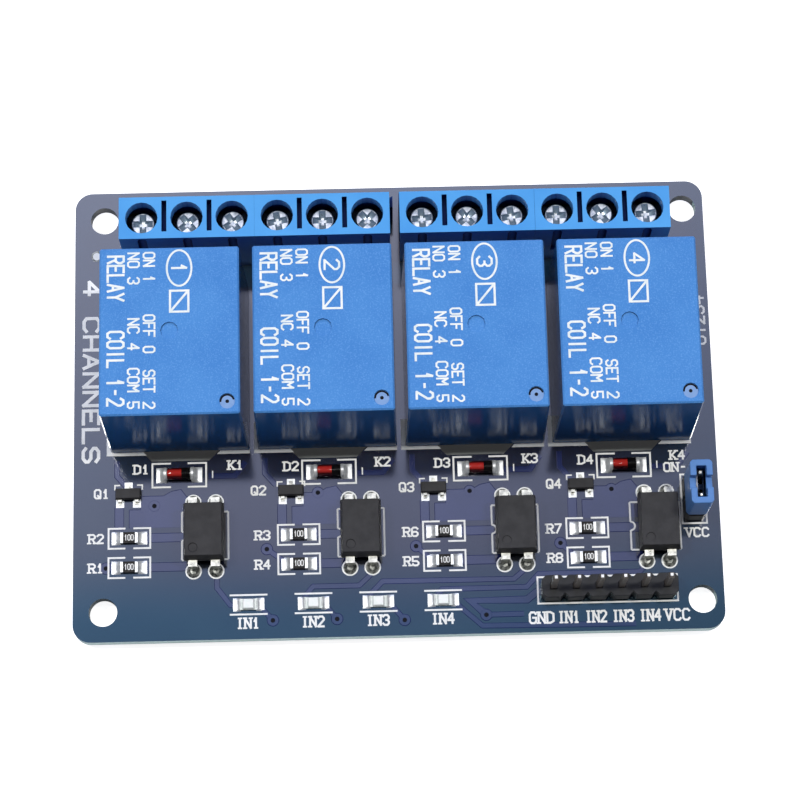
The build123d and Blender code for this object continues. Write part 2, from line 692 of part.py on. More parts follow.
input_base = Pos((HEADER_X[0] + HEADER_X[-1]) / 2, HEADER_Y, BOARD_TOP) * notched_strip(HEADER_PIN_COUNT)
save("input_header", extrude(input_base, HEADER_HEIGHT))
save("input_pins", *[make_pin(x, HEADER_Y) for x in HEADER_X])
jumper_base = Pos(JUMPER_X, JUMPER_Y, BOARD_TOP) * Rot(0, 0, 90) * notched_strip(JUMPER_PIN_COUNT)
save("jumper_header", extrude(jumper_base, HEADER_HEIGHT))
save("jumper_pins", *[make_pin(JUMPER_X, y) for y in JUMPER_PIN_Y])
save("jumper_cap", make_jumper_cap())
save("jumper_clip", make_jumper_clip())
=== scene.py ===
import math

import bpy
from mathutils import Matrix, Vector


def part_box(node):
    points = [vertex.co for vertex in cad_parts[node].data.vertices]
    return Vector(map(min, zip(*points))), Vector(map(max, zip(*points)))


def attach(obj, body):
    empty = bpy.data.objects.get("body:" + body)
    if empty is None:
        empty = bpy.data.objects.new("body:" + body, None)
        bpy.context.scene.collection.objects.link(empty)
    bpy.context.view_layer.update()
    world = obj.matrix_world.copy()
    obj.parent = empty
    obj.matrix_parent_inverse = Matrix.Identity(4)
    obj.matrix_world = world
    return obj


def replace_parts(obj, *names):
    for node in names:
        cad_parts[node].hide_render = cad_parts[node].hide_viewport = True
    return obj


# Looks of the four-channel relay module board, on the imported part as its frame.
# Sizes are in millimetres and become metres where a mesh is made.

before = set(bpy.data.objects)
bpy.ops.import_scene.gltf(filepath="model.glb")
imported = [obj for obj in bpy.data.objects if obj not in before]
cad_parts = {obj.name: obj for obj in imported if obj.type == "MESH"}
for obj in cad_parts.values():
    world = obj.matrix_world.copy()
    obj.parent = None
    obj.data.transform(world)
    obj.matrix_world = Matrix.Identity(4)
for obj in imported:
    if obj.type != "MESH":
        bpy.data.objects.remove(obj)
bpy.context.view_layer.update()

MM = 0.001
CHANNELS = 4
POLES = 12
# How far flat pieces rise over the surface they lie on, and how deep they reach into it
COPPER_RISE = 0.02
INK_RISE = 0.035
PRINT_RISE = 0.02
BURIED = -0.01
LAYERS = 20
LAYER_STEP = 0.0005
# How round and bent shapes are drawn
SIDES = 40
SHARP_ANGLE = 40
MITRE_LIMIT = 0.5


# Reading the frame

def box_mm(node):
    low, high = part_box(node)
    return low / MM, high / MM


def solids_mm(node):
    """The boxes of the separate solids in one node, sorted from left to right and front to back."""
    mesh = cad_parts[node].data
    places = [tuple(round(c / MM, 4) for c in v.co) for v in mesh.vertices]
    owner = {place: place for place in places}

    def root(place):
        while owner[place] != place:
            owner[place] = owner[owner[place]]
            place = owner[place]
        return place

    for face in mesh.polygons:
        corners = [places[i] for i in face.vertices]
        for corner in corners[1:]:
            owner[root(corner)] = root(corners[0])
    groups = {}
    for place in owner:
        groups.setdefault(root(place), []).append(place)
    boxes = []
    for group in groups.values():
        low = Vector([min(p[i] for p in group) for i in range(3)])
        high = Vector([max(p[i] for p in group) for i in range(3)])
        boxes.append((low, high))
    return sorted(boxes, key=lambda b: (round(b[0].x, 2), round(b[0].y, 2)))


def crown_mm(node, depth=0.5):
    """The box of the uppermost part of a node, for pieces that lean in as they rise."""
    corners = [v.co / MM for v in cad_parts[node].data.vertices]
    top = max(c.z for c in corners)
    upper = [c for c in corners if c.z > top - depth]
    low = Vector([min(c[i] for c in upper) for i in range(3)])
    high = Vector([max(c[i] for c in upper) for i in range(3)])
    return low, high


def middle(box):
    return (box[0] + box[1]) / 2


BOARD = box_mm("circuit_board")
TOP = BOARD[1].z
UNDER = BOARD[0].z
RELAYS = [crown_mm(f"relay_cover_{i + 1}") for i in range(CHANNELS)]
OPTOS = [box_mm(f"optocoupler_{i + 1}") for i in range(CHANNELS)]
SCREWS = [box_mm(f"clamp_screw_{i + 1}") for i in range(POLES)]
OPTO_LEADS = solids_mm("optocoupler_leads")
DIODES = solids_mm("diode_glass")
DIODE_CAPS = solids_mm("diode_end_caps")
RESISTORS = solids_mm("resistors")
LAMPS = solids_mm("lamp_bases")
TRANSISTORS = solids_mm("transistors")
TRANSISTOR_LEADS = solids_mm("transistor_leads")
INPUT_PINS = solids_mm("input_pins")
JUMPER_PINS = solids_mm("jumper_pins")
RELAY_LEADS = solids_mm("relay_leads")
STRIPS = solids_mm("contact_strips")


# Building meshes

def new_object(name, data):
    made = bpy.data.objects.new(name, data)
    bpy.context.scene.collection.objects.link(made)
    return made


class Shape:
    """Vertices and faces in millimetres, gathered until they become one piece."""

    def __init__(self):
        self.points = []
        self.faces = []
        self.layers = 0

    def layer(self):
        """A tiny rise, different for strips that may cross, so that no two tops share a plane."""
        self.layers = (self.layers + 1) % LAYERS
        return self.layers * LAYER_STEP

    def add(self, points, faces):
        first = len(self.points)
        self.points += [tuple(p) for p in points]
        self.faces += [tuple(first + i for i in face) for face in faces]

    def plate(self, outline, z0, z1):
        """A flat plate with a plain outline, given anticlockwise."""
        n = len(outline)
        z1 += self.layer()
        points = [(x, y, z0) for x, y in outline] + [(x, y, z1) for x, y in outline]
        sides = [(i, (i + 1) % n, n + (i + 1) % n, n + i) for i in range(n)]
        self.add(points, [tuple(reversed(range(n))), tuple(range(n, 2 * n))] + sides)

    def bar(self, x0, x1, y0, y1, z0, z1):
        self.plate([(x0, y0), (x1, y0), (x1, y1), (x0, y1)], z0, z1)

    def disc(self, x, y, radius, z0, z1):
        self.plate(circle(x, y, radius), z0, z1)

    def ring(self, x, y, inner, outer, z0, z1):
        profile = [(inner, z0), (outer, z0), (outer, z1), (inner, z1)]
        self.lathe((x, y, 0), profile, closed=True)

    def lathe(self, place, profile, closed=False, axis="z"):
        """A turned shape: the profile is pairs of radius and height along the axis."""
        n = len(profile)
        points = []
        for k in range(SIDES):
            turn = 2 * math.pi * k / SIDES
            for radius, height in profile:
                a = radius * math.cos(turn)
                b = radius * math.sin(turn)
                offset = (a, b, height) if axis == "z" else (height, a, b)
                points.append(tuple(p + o for p, o in zip(place, offset)))
        faces = []
        spans = n if closed else n - 1
        for k in range(SIDES):
            here = k * n
            there = ((k + 1) % SIDES) * n
            for i in range(spans):
                j = (i + 1) % n
                faces.append((here + i, there + i, there + j, here + j))
        self.add(points, faces)

    def ribbon(self, line, width, z0, z1, flare=0.0):
        """A strip along a bent line, with mitred corners; flare widens its foot on each side."""
        foot = ([], [])
        head = ([], [])
        path = [Vector(p) for p in line]
        for i, point in enumerate(path):
            before = (point - path[i - 1]).normalized() if i else None
            after = (path[i + 1] - point).normalized() if i + 1 < len(path) else None
            edge = before or after
            ahead = (before + after).normalized() if before and after else edge
            across = Vector((-ahead.y, ahead.x))
            square = Vector((-edge.y, edge.x))
            mitre = max(across.dot(square), MITRE_LIMIT)
            for edges, half in ((foot, width / 2 + flare), (head, width / 2)):
                edges[0].append(point + across * half / mitre)
                edges[1].append(point - across * half / mitre)
        n = len(path)
        points = []
        z1 += self.layer()
        for edges, z in ((foot, z0), (head, z1)):
            for edge in edges:
                points += [(p.x, p.y, z) for p in edge]
        faces = [(0, 2 * n, 3 * n, n), (n - 1, 2 * n - 1, 4 * n - 1, 3 * n - 1)]
        for i in range(n - 1):
            faces.append((2 * n + i, 2 * n + i + 1, 3 * n + i + 1, 3 * n + i))
            faces.append((i, n + i, n + i + 1, i + 1))
            faces.append((i, i + 1, 2 * n + i + 1, 2 * n + i))
            faces.append((n + i, 3 * n + i, 3 * n + i + 1, n + i + 1))
        self.add(points, faces)

    def frame(self, x0, x1, y0, y1, line, z0, z1):
        """The four lines of a box."""
        half = line / 2
        self.bar(x0 - half, x1 + half, y0 - half, y0 + half, z0, z1)
        self.bar(x0 - half, x1 + half, y1 - half, y1 + half, z0, z1)
        self.bar(x0 - half, x0 + half, y0 + half, y1 - half, z0, z1)
        self.bar(x1 - half, x1 + half, y0 + half, y1 - half, z0, z1)

    def pillow(self, x0, x1, y0, y1, z0, height, steps=10):
        """A low mound on a rectangle; height gives its rise from 0 to 1 along and across."""
        points = []
        for i in range(steps + 1):
            for j in range(steps + 1):
                u = i / steps
                v = j / steps
                points.append((x0 + (x1 - x0) * u, y0 + (y1 - y0) * v, z0 + height(u, v)))
        faces = []
        row = steps + 1
        for i in range(steps):
            for j in range(steps):
                a = i * row + j
                faces.append((a, a + row, a + row + 1, a + 1))
        self.add(points, faces)

    def piece(self, name, material, slot, body="board", smooth=False):
        mesh = bpy.data.meshes.new(name)
        mesh.from_pydata([tuple(c * MM for c in p) for p in self.points], [], self.faces)
        mesh.update()
        mesh.materials.append(material)
        obj = new_object(name, mesh)
        if smooth:
            mesh.shade_smooth()
            mesh.set_sharp_from_angle(angle=math.radians(SHARP_ANGLE))
        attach(obj, body)
        return obj


def circle(x, y, radius, sides=SIDES):
    turns = [2 * math.pi * k / sides for k in range(sides)]
    return [(x + radius * math.cos(t), y + radius * math.sin(t)) for t in turns]


# Lettering: each stroke is a chain of points, and a point is two digits, across 0 to 4 and up 0 to 6.
# Some letters have feet, which are short level strokes across the points listed for them.

GLYPHS = {
    "A": "00-26 26-40 12-32", "C": "45-36-16-05-01-10-30-41", "D": "00-06 06-26-45-41-20-00",
    "E": "46-06-00-40 03-33", "F": "46-06-00 03-33", "H": "00-06 40-46 03-43", "I": "20-26",
    "G": "45-36-16-05-01-10-30-41-43-23", "K": "00-06 46-02 13-40", "L": "06-00-40",
    "M": "00-06 06-23 23-46 46-40", "N": "00-06 06-40 40-46", "O": "26-16-05-01-10-30-41-45-36-26",
    "Q": "26-16-05-01-10-30-41-45-36-26 22-40", "R": "00-06 06-36-45-44-33-03 23-40",
    "S": "45-36-16-05-04-13-33-42-41-30-10-01", "T": "06-46 26-20", "V": "06-20 20-46",
    "Y": "06-23 23-46 23-20", "-": "13-33", "0": "26-16-05-01-10-30-41-45-36-26", "1": "14-26 26-20",
    "2": "05-16-36-45-44-00 00-40", "3": "05-16-36-45-44-33 33-42-41-30-10-01 33-23",
    "4": "36-02 02-42 30-36",
    "5": "46-06-03-33-42-41-30-10-01", "6": "45-36-16-05-01-10-30-41-42-33 33-13-02", "7": "06-46 46-10",
    "8": "23-13-04-05-16-36-45-44-33-23 13-02-01-10-30-41-42-33",
}
FEET = {
    "D": "00 06", "K": "00 06 40 46", "R": "00 06 40", "N": "00 06 46", "V": "06 46",
    "I": "20 26", "1": "20",
}
GLYPH_RISE = 6
GLYPH_WIDTH = 4
GLYPH_STEP = 5.6
FOOT_REACH = 1.5
FOOT_LINE = 0.8
STROKE_OVERRUN = 0.35


def write(shape, words, centre, height, line, z, along=(1, 0), feet=False, narrow=1.0):
    """Stroke lettering centred on a point, running along a direction."""
    unit = height / GLYPH_RISE
    along = Vector(along)
    up = Vector((-along.y, along.x))
    run = ((len(words) - 1) * GLYPH_STEP + GLYPH_WIDTH) * unit * narrow
    start = Vector(centre) - along * run / 2 - up * height / 2

    def spot(across, rise):
        return start + along * (across * unit * narrow) + up * (rise * unit)

    for index, letter in enumerate(words):
        if letter == " ":
            continue
        shift = index * GLYPH_STEP
        for stroke in GLYPHS[letter].split():
            chain = [spot(int(p[0]) + shift, int(p[1])) for p in stroke.split("-")]
            if chain[0] != chain[-1]:
                chain[0] = chain[0] + (chain[0] - chain[1]).normalized() * line * STROKE_OVERRUN
                chain[-1] = chain[-1] + (chain[-1] - chain[-2]).normalized() * line * STROKE_OVERRUN
            shape.ribbon(chain, line, *z)
        for foot in (FEET.get(letter, "").split() if feet else ()):
            across = int(foot[0]) + shift
            rise = int(foot[1])
            ends = [spot(across - FOOT_REACH, rise), spot(across + FOOT_REACH, rise)]
            shape.ribbon(ends, line * FOOT_LINE, *z)


# Materials

WHITE = (1, 1, 1, 1)
UPRIGHT = 0.5
CLOUD_STOPS = (0.35, 0.65)
CLOUD_DETAIL = 4
GRAIN_DETAIL = 2
SPECKLE_DETAIL = 1
SPECKLE_STEP = (0.5, 0.72)
SMOOTHEST = 0.02
RELIEF_DEPTH = 0.02
PAINTED_HIGHLIGHT_START = 0.72
CREVICE_SHADE_STEP = (0.88, 0.48)


def linear(red, green, blue):
    """A colour given as 0 to 255 for each channel, as the renderer counts it."""
    def one(value):
        share = value / 255
        return share / 12.92 if share <= 0.04045 else ((share + 0.055) / 1.055) ** 2.4
    return (one(red), one(green), one(blue), 1)


class Nodes:
    """Short ways to add and join the nodes of a material or of the world."""

    def __init__(self, tree):
        self.tree = tree

    def join(self, source, target):
        self.tree.links.new(source, target)

    def node(self, kind, **values):
        """A new node, with constants on the sockets that are named."""
        made = self.tree.nodes.new("ShaderNode" + kind)
        for name, value in values.items():
            made.inputs[name.replace("_", " ")].default_value = value
        return made

    def work_out(self, operation, first, second=None):
        """One sum on a socket and, where it is given, a number or another socket."""
        made = self.node("Math")
        made.operation = operation
        self.join(first, made.inputs[0])
        if isinstance(second, float):
            made.inputs[1].default_value = second
        elif second is not None:
            self.join(second, made.inputs[1])
        return made.outputs["Value"]

    def work_out_vector(self, operation, source):
        made = self.node("VectorMath")
        made.operation = operation
        self.join(source, made.inputs[0])
        return made

    def axes(self, source):
        """The three parts of a vector."""
        split = self.node("SeparateXYZ")
        self.join(source, split.inputs["Vector"])
        return split.outputs

    def fade(self, source, start, end, low=0.0, high=1.0, smooth=False):
        """A value that runs from low to high while the source runs from start to end."""
        share = self.node("MapRange", From_Min=start, From_Max=end, To_Min=low, To_Max=high)
        if smooth:
            share.interpolation_type = "SMOOTHSTEP"
        self.join(source, share.inputs["Value"])
        return share.outputs["Result"]

    def blend(self, share, first, second):
        """A colour between two others, each of them a socket or a fixed colour."""
        mix = self.node("Mix")
        mix.data_type = "RGBA"
        self.join(share, mix.inputs["Factor"])
        for name, colour in (("A", first), ("B", second)):
            if isinstance(colour, tuple):
                mix.inputs[name].default_value = colour
            else:
                self.join(colour, mix.inputs[name])
        return mix.outputs["Result"]


class Finish(Nodes):
    """A surface whose shade, gloss and relief drift with noise in the piece's own space."""

    def __init__(self, name, dark, light, patch=2.0, roughness=0.5, drift=0.08,
                 relief=0.0, grain=0.1, metallic=0.0, shine=0.15):
        self.material = bpy.data.materials.new(name)
        self.material.use_nodes = True
        super().__init__(self.material.node_tree)
        self.surface = self.tree.nodes["Principled BSDF"]
        self.place = self.node("TexCoord").outputs["Object"]
        cloud = self.noise(patch, CLOUD_DETAIL)
        ramp = self.node("ValToRGB")
        for stop, position, colour in zip(ramp.color_ramp.elements, CLOUD_STOPS, (dark, light)):
            stop.position = position
            stop.color = linear(*colour)
        self.join(cloud, ramp.inputs["Fac"])
        self.colour = ramp.outputs["Color"]
        self.join(self.colour, self.surface.inputs["Base Color"])
        smooth = max(roughness - drift, SMOOTHEST)
        rough = min(roughness + drift, 1.0)
        self.roughness = self.fade(cloud, 0.0, 1.0, smooth, rough)
        self.join(self.roughness, self.surface.inputs["Roughness"])
        self.set(Metallic=metallic, Specular_IOR_Level=shine)
        if relief:
            bump = self.node("Bump", Strength=relief, Distance=RELIEF_DEPTH * MM)
            self.join(self.noise(grain, GRAIN_DETAIL), bump.inputs["Height"])
            self.join(bump.outputs["Normal"], self.surface.inputs["Normal"])

    def noise(self, size, detail):
        """Noise with lumps of about one size."""
        cloud = self.node("TexNoise", Scale=1 / (size * MM), Detail=detail)
        self.join(self.place, cloud.inputs["Vector"])
        return cloud.outputs["Fac"]

    def set(self, **values):
        for name, value in values.items():
            self.surface.inputs[name.replace("_", " ")].default_value = value
        return self

    def scaled_place(self, length, width, centre=(0, 0)):
        """The place on the piece seen from above, counted from a point in a length and a width."""
        scale = self.node("Mapping", Scale=(1 / (length * MM), 1 / (width * MM), 0))
        scale.inputs["Location"].default_value = (-centre[0] / length, -centre[1] / width, 0)
        self.join(self.place, scale.inputs["Vector"])
        return scale.outputs["Vector"]

    def box_reach(self, half_length, half_width):
        """How far out a place lies: 1 on the sides of a box round the middle, and less inside it."""
        size = self.work_out_vector("ABSOLUTE", self.scaled_place(half_length, half_width))
        sides = self.axes(size.outputs["Vector"])
        return self.work_out("MAXIMUM", sides["X"], sides["Y"])

    def upright(self, limit=UPRIGHT):
        """A mask that is 1 on steep faces. The limit runs from 0, for upright, to 1, for level."""
        facing = self.axes(self.node("NewGeometry").outputs["True Normal"])
        return self.work_out("LESS_THAN", self.work_out("ABSOLUTE", facing["Z"]), limit)

    def tint(self, share, colour):
        """Lay another colour over the ground colour, by a share from 0 to 1."""
        self.colour = self.blend(share, self.colour, linear(*colour))
        self.join(self.colour, self.surface.inputs["Base Color"])
        return self

    def speckle(self, size, colour, amount):
        """Fine pale grains over the ground colour."""
        grains = self.noise(size, SPECKLE_DETAIL)
        return self.tint(self.fade(grains, *SPECKLE_STEP, high=amount), colour)

    def sides(self, colour, limit=UPRIGHT):
        """Another colour on faces steeper than a limit, used here as painted shade on upright faces."""
        return self.tint(self.upright(limit), colour)

    def sawn_edge(self, half_length, half_width, colour):
        """Another colour on the upright faces that lie outside a box round the middle."""
        outside = self.work_out("GREATER_THAN", self.box_reach(half_length, half_width), 1.0)
        return self.tint(self.work_out("MULTIPLY", outside, self.upright()), colour)

    def crown(self, colour):
        """A painted highlight: another colour where a round surface looks up."""
        facing = self.axes(self.node("NewGeometry").outputs["Normal"])
        return self.tint(self.fade(facing["Z"], PAINTED_HIGHLIGHT_START, 1.0, smooth=True), colour)

    def crevices(self, reach, colour):
        """Painted shade: another colour where the surface is closed in, such as a slit or a well."""
        openness = self.node("AmbientOcclusion", Distance=reach * MM).outputs["AO"]
        return self.tint(self.fade(openness, *CREVICE_SHADE_STEP), colour)

    def steep_gloss(self, roughness, shine, limit=UPRIGHT):
        """Another gloss on faces steeper than a limit."""
        steep = self.upright(limit)
        rough = self.node("Mix")
        self.join(self.roughness, rough.inputs["A"])
        gloss = self.node("Mix")
        gloss.inputs["A"].default_value = self.surface.inputs["Specular IOR Level"].default_value
        for mix, value, socket in ((rough, roughness, "Roughness"), (gloss, shine, "Specular IOR Level")):
            self.join(steep, mix.inputs["Factor"])
            mix.inputs["B"].default_value = value
            self.join(mix.outputs["Result"], self.surface.inputs[socket])
        return self

    def front_glint(self, start, end, tint):
        """Tinted reflections towards the front of the piece, fading in between two places along it."""
        share = self.fade(self.axes(self.place)["Y"], start * MM, end * MM, smooth=True)
        self.join(self.blend(share, WHITE, (*tint, 1)), self.surface.inputs["Specular Tint"])
        return self

    def rim_tint(self, centre, inner, outer, colour):
        """Painted reflection: another colour towards an oval round a point, fading in from an inner share
        of its half axes.
        """
        reach = self.work_out_vector("LENGTH", self.scaled_place(*outer, centre))
        return self.tint(self.fade(reach.outputs["Value"], inner, 1.0, smooth=True), colour)


# The board and what is printed on it
MASK_GLOSS = {"roughness": 0.12, "drift": 0.02, "relief": 0.06, "shine": 1.0}
MASK_IOR = 1.8
mask = Finish("solder mask", (18, 20, 38), (24, 26, 46), patch=9, grain=0.35, **MASK_GLOSS)
# Painted reflection: the mask turns teal towards its rim, as a sheen of the surroundings
mask.set(IOR=MASK_IOR).rim_tint(centre=(0, -8), inner=0.6, outer=(38, 22), colour=(6, 34, 52))
# Painted shade: the upright walls of slots and holes are dark grey-green, while the sawn outer edge keeps
# the pale board colour
mask.sides((52, 66, 70)).sawn_edge(half_length=35.5, half_width=25.4, colour=(204, 240, 234))
mask.front_glint(start=-15, end=-25, tint=(0.5, 0.84, 1.0))
copper = Finish("masked copper", (18, 26, 70), (28, 36, 86), patch=6, grain=0.3, **MASK_GLOSS)
copper.set(IOR=MASK_IOR).front_glint(start=-17, end=-27, tint=(0.6, 0.84, 1.0))
copper.steep_gloss(roughness=0.4, shine=0.12, limit=0.985)
ink = Finish("white ink", (238, 240, 238), (253, 254, 252), patch=1.2, roughness=0.6)
hole_dark = Finish("hole shade", (10, 12, 20), (22, 24, 34), patch=0.3, roughness=0.7)
hole_pale = Finish("open hole", (244, 246, 246), (252, 253, 253), patch=0.5, roughness=0.8)

# Relays, terminals and jumper
relay_ink = Finish("relay print", (226, 236, 236), (250, 252, 246), patch=1.0, roughness=0.6)
relay_blue = Finish("relay blue", (70, 134, 206), (78, 142, 212), patch=5,
                    drift=0.05, relief=0.5, grain=0.12)
relay_blue.speckle(size=0.16, colour=(120, 176, 236), amount=0.4)
# Painted shade: the relays' upright sides are a darker blue, and also glossier
relay_blue.steep_gloss(roughness=0.05, shine=0.08).sides((38, 90, 148))
relay_blue.set(Specular_Tint=(0.7, 0.9, 1.0, 1))
vent_pale = Finish("relay vent", (124, 160, 208), (134, 168, 214), patch=0.6)
base_blue = Finish("relay base", (18, 60, 118), (24, 70, 130), patch=3)
terminal_blue = Finish("terminal blue", (76, 158, 228), (86, 168, 234), patch=6, roughness=0.45,
                       drift=0.05, relief=0.15, grain=0.3)
# Painted shade in the wells, slits and grooves of the terminal housings
terminal_blue.crevices(reach=2.4, colour=(12, 50, 118))
jumper_blue = Finish("jumper blue", (86, 132, 194), (94, 140, 202), roughness=0.4,
                     drift=0.05, relief=0.2, grain=0.2)

# Metals
zinc = Finish("zinc plate", (176, 184, 190), (244, 247, 248), patch=0.5, roughness=0.3,
              drift=0.1, relief=0.3, grain=0.15, metallic=0.5)
# Painted shade on the steep walls of the drive recess
zinc.sides((138, 156, 170), limit=0.97)
cage_plate = Finish("plated cage", (150, 154, 160), (206, 210, 214), patch=0.8, roughness=0.3,
                    drift=0.1, relief=0.2, grain=0.2, metallic=1.0)
# Painted shade on the closed-in parts of the cages and contact strips
cage_plate.crevices(reach=1.6, colour=(24, 34, 52))
tin = Finish("tinned lead", (168, 168, 160), (222, 222, 212), patch=0.5, roughness=0.3,
             drift=0.1, relief=0.3, grain=0.15, metallic=0.9)
solder = Finish("solder", (216, 220, 222), (248, 250, 250), patch=0.5, roughness=0.4,
                drift=0.1, relief=0.4, grain=0.3, metallic=0.6)
# Painted highlight: a near-white copy of the solder, for the raised rings round the optocoupler leads
solder_highlight = Finish("solder highlight", (236, 240, 240), (252, 253, 252), patch=0.4, roughness=0.5,
                       drift=0.1, relief=0.2, grain=0.2, metallic=0.1)
# Painted shade: a darker copy of the solder, for the dishes round the optocoupler leads, also used on the
# tooling rim
shaded_solder = Finish("shaded solder", (70, 74, 72), (168, 170, 164), patch=0.35, roughness=0.3,
                     drift=0.1, relief=0.4, grain=0.3, metallic=0.5)
pin_plate = Finish("pin plate", (228, 230, 230), (246, 247, 246), patch=0.4, roughness=0.4,
                   drift=0.1, relief=0.2, grain=0.2, metallic=0.3)
# Painted shade on the upright sides of the pins
pin_plate.sides((104, 98, 92))

# Small components
black = Finish("black moulding", (49, 49, 51), (60, 60, 62), patch=1.5,
               drift=0.06, relief=0.6, grain=0.12)
header_black = Finish("header black", (36, 37, 39), (48, 49, 52), patch=1.5, roughness=0.42,
                      drift=0.06, relief=0.3, grain=0.15)
glass_red = Finish("diode glass", (40, 4, 6), (66, 6, 8), patch=0.7, roughness=0.08, drift=0.03)
# Painted highlight: the glass is a lighter red where it looks up
glass_red.crown((178, 44, 38)).set(Coat_Weight=0.6, Coat_Roughness=0.05)
band_black = Finish("diode band", (10, 9, 10), (20, 18, 18), patch=0.6, roughness=0.2, drift=0.05)
resistor_black = Finish("resistor black", (24, 22, 21), (40, 37, 35), patch=0.5,
                        roughness=0.32, drift=0.06)
lamp_white = Finish("lamp base", (226, 234, 226), (246, 250, 246), patch=0.5)
lamp_clear = Finish("lamp lens", (244, 252, 246), (254, 255, 254), patch=0.4, roughness=0.2,
                    drift=0.05, shine=0.5)
lamp_chip = Finish("lamp chip", (150, 176, 84), (190, 206, 120), patch=0.2, roughness=0.4)

FINISHES = {
    "circuit_board": mask, "relay_cover": relay_blue, "relay_base": base_blue, "relay_leads": tin,
    "terminal_housing": terminal_blue, "clamp_screw": zinc, "clamp_cage": cage_plate,
    "contact_strips": cage_plate, "optocoupler": black, "optocoupler_leads": tin, "transistors": black,
    "transistor_leads": tin, "diode_glass": glass_red, "diode_end_caps": solder,
    "resistors": resistor_black, "resistor_ends": solder, "lamp_bases": lamp_white,
    "lamp_lenses": lamp_clear, "input_header": header_black, "input_pins": pin_plate,
    "jumper_header": header_black, "jumper_pins": tin, "jumper_cap": jumper_blue,
    "jumper_clip": cage_plate,
}
SOFT_EDGES = {
    "terminal_housing": 0.05, "jumper_cap": 0.1, "optocoupler": 0.1, "transistors": 0.05,
    "input_header": 0.06, "jumper_header": 0.06, "input_pins": 0.06, "jumper_pins": 0.06,
    "resistor_ends": 0.05, "lamp_lenses": 0.08,
}
WELD_REACH = 0.001
FLAT_ANGLE = 1
BEVEL_ANGLE = 25
BEVEL_STEPS = 3


def entry(table, node):
    """What a table holds for a node, whose own name may end in a number."""
    kind = node.rstrip("0123456789").rstrip("_")
    return table.get(kind)


def soften(node, width):
    """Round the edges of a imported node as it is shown, leaving its mesh alone."""
    weld = node.modifiers.new("weld", "WELD")
    weld.merge_threshold = WELD_REACH * MM
    flat = node.modifiers.new("flat", "DECIMATE")
    flat.decimate_type = "DISSOLVE"
    flat.angle_limit = math.radians(FLAT_ANGLE)
    bevel = node.modifiers.new("bevel", "BEVEL")
    bevel.width = width * MM
    bevel.segments = BEVEL_STEPS
    bevel.limit_method = "ANGLE"
    bevel.angle_limit = math.radians(BEVEL_ANGLE)
    bevel.harden_normals = True


for name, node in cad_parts.items():
    node.data.materials.clear()
    node.data.materials.append(entry(FINISHES, name).material)
    width = entry(SOFT_EDGES, name)
    if width:
        soften(node, width)

# Copper under the mask: pours, traces and vias

COPPER_Z = (TOP + BURIED, TOP + COPPER_RISE)
TRACE = 0.5
TRACE_SLOPE = 0.09
WIDE_TRACE = 0.95
VIA_RING = 0.62
VIA_DRILL = 0.26
VIA_RISE = 0.032
DRILL_RISE = 0.034
traces = Shape()
via_drills = Shape()


def trace(line, width=TRACE):
    traces.ribbon(line, width, *COPPER_Z, flare=TRACE_SLOPE)


def via(x, y):
    ring = [(VIA_RING + TRACE_SLOPE, BURIED), (VIA_RING, VIA_RISE), (VIA_DRILL, VIA_RISE)]
    traces.lathe((x, y, TOP), ring)
    via_drills.disc(x, y, VIA_DRILL, TOP + BURIED, TOP + DRILL_RISE)


LAMP_MIDDLES = [middle(lamp) for lamp in LAMPS]
UPPER_CHIPS = [RESISTORS[2 * i + 1] for i in range(CHANNELS)]
LOWER_CHIPS = [RESISTORS[2 * i] for i in range(CHANNELS)]
PAD_REACH = 1.1
UNDER_OPTO = 1.0
POUR_RIM = 0.3
POUR_LEFT = 0.25
POUR_FRONT = 1.15
POUR_BACK = 0.35
LEAD_TRACE_LEFT = 1.05
LEAD_TRACE_START = 1.4
LEAD_TRACE_GAP = 0.2
for opto, upper, lower, transistor in zip(OPTOS, UPPER_CHIPS, LOWER_CHIPS, TRANSISTORS):
    opto_left = opto[0].x
    opto_back = opto[1].y
    for chip in (upper, lower):
        y = middle(chip).y
        trace([(chip[1].x + PAD_REACH, y), (opto_left + UNDER_OPTO, y)], WIDE_TRACE)
    body = middle(transistor)
    left = body.x + POUR_LEFT
    front = middle(upper).y + POUR_FRONT
    back = body.y - POUR_BACK
    pour = [
        (left, front), (opto_left - 0.1, front), (opto_left + 0.1, opto_back + 1.2),
        (opto_left - 0.5, opto_back + 2.0), (opto_left - 1.5, opto_back + 1.8), (opto_left - 2.3, back),
        (body.x + 1.6, back), (body.x + 1.5, body.y - 1.9), (left, body.y - 1.9),
    ]
    traces.plate(pour, *COPPER_Z)
    trace([*pour[1:], *pour[:1]], POUR_RIM)
    x = body.x - LEAD_TRACE_LEFT
    trace([(x, body.y - LEAD_TRACE_START), (x, front - LEAD_TRACE_GAP)], WIDE_TRACE)

LAMP_FEEDS = [
    [(-20.4, -19.2), (-20.4, -20.6), (-18.9, -22.6), (-17.9, -22.6)],
    [(-2.8, -19.2), (-4.4, -20.7), (-9.6, -20.7), (-10.4, -21.6), (-10.4, -22.4)],
    [(14.6, -19.0), (13.0, -20.35), (-1.8, -20.3), (-3.2, -21.7), (-3.2, -22.4)],
    [(28.0, -19.0), (27.2, -19.85), (15.8, -19.85), (14.4, -21.3), (4.9, -21.35), (4.2, -22.2)],
]
SUPPLY_FEED = [(17.2, -21.7), (15.5, -21.9), (14.4, -22.75), (8.0, -22.75), (9.6, -24.2)]
SUPPLY_TRACE = 0.75
FRONT_FEED = [(6.4, -23.0), (9.3, -25.6), (18.0, -25.7), (26.5, -25.75)]
HEADER_VIA = (9.76, -24.38)
HEADER_FEED = [HEADER_VIA, (14.0, -24.35)]
for feed in LAMP_FEEDS:
    trace(feed)
trace(SUPPLY_FEED, SUPPLY_TRACE)
trace(FRONT_FEED)
trace(HEADER_FEED)
LAMP_VIAS = [(-14.16, -24.45), (-6.97, -24.45), (0.6, -24.75)]
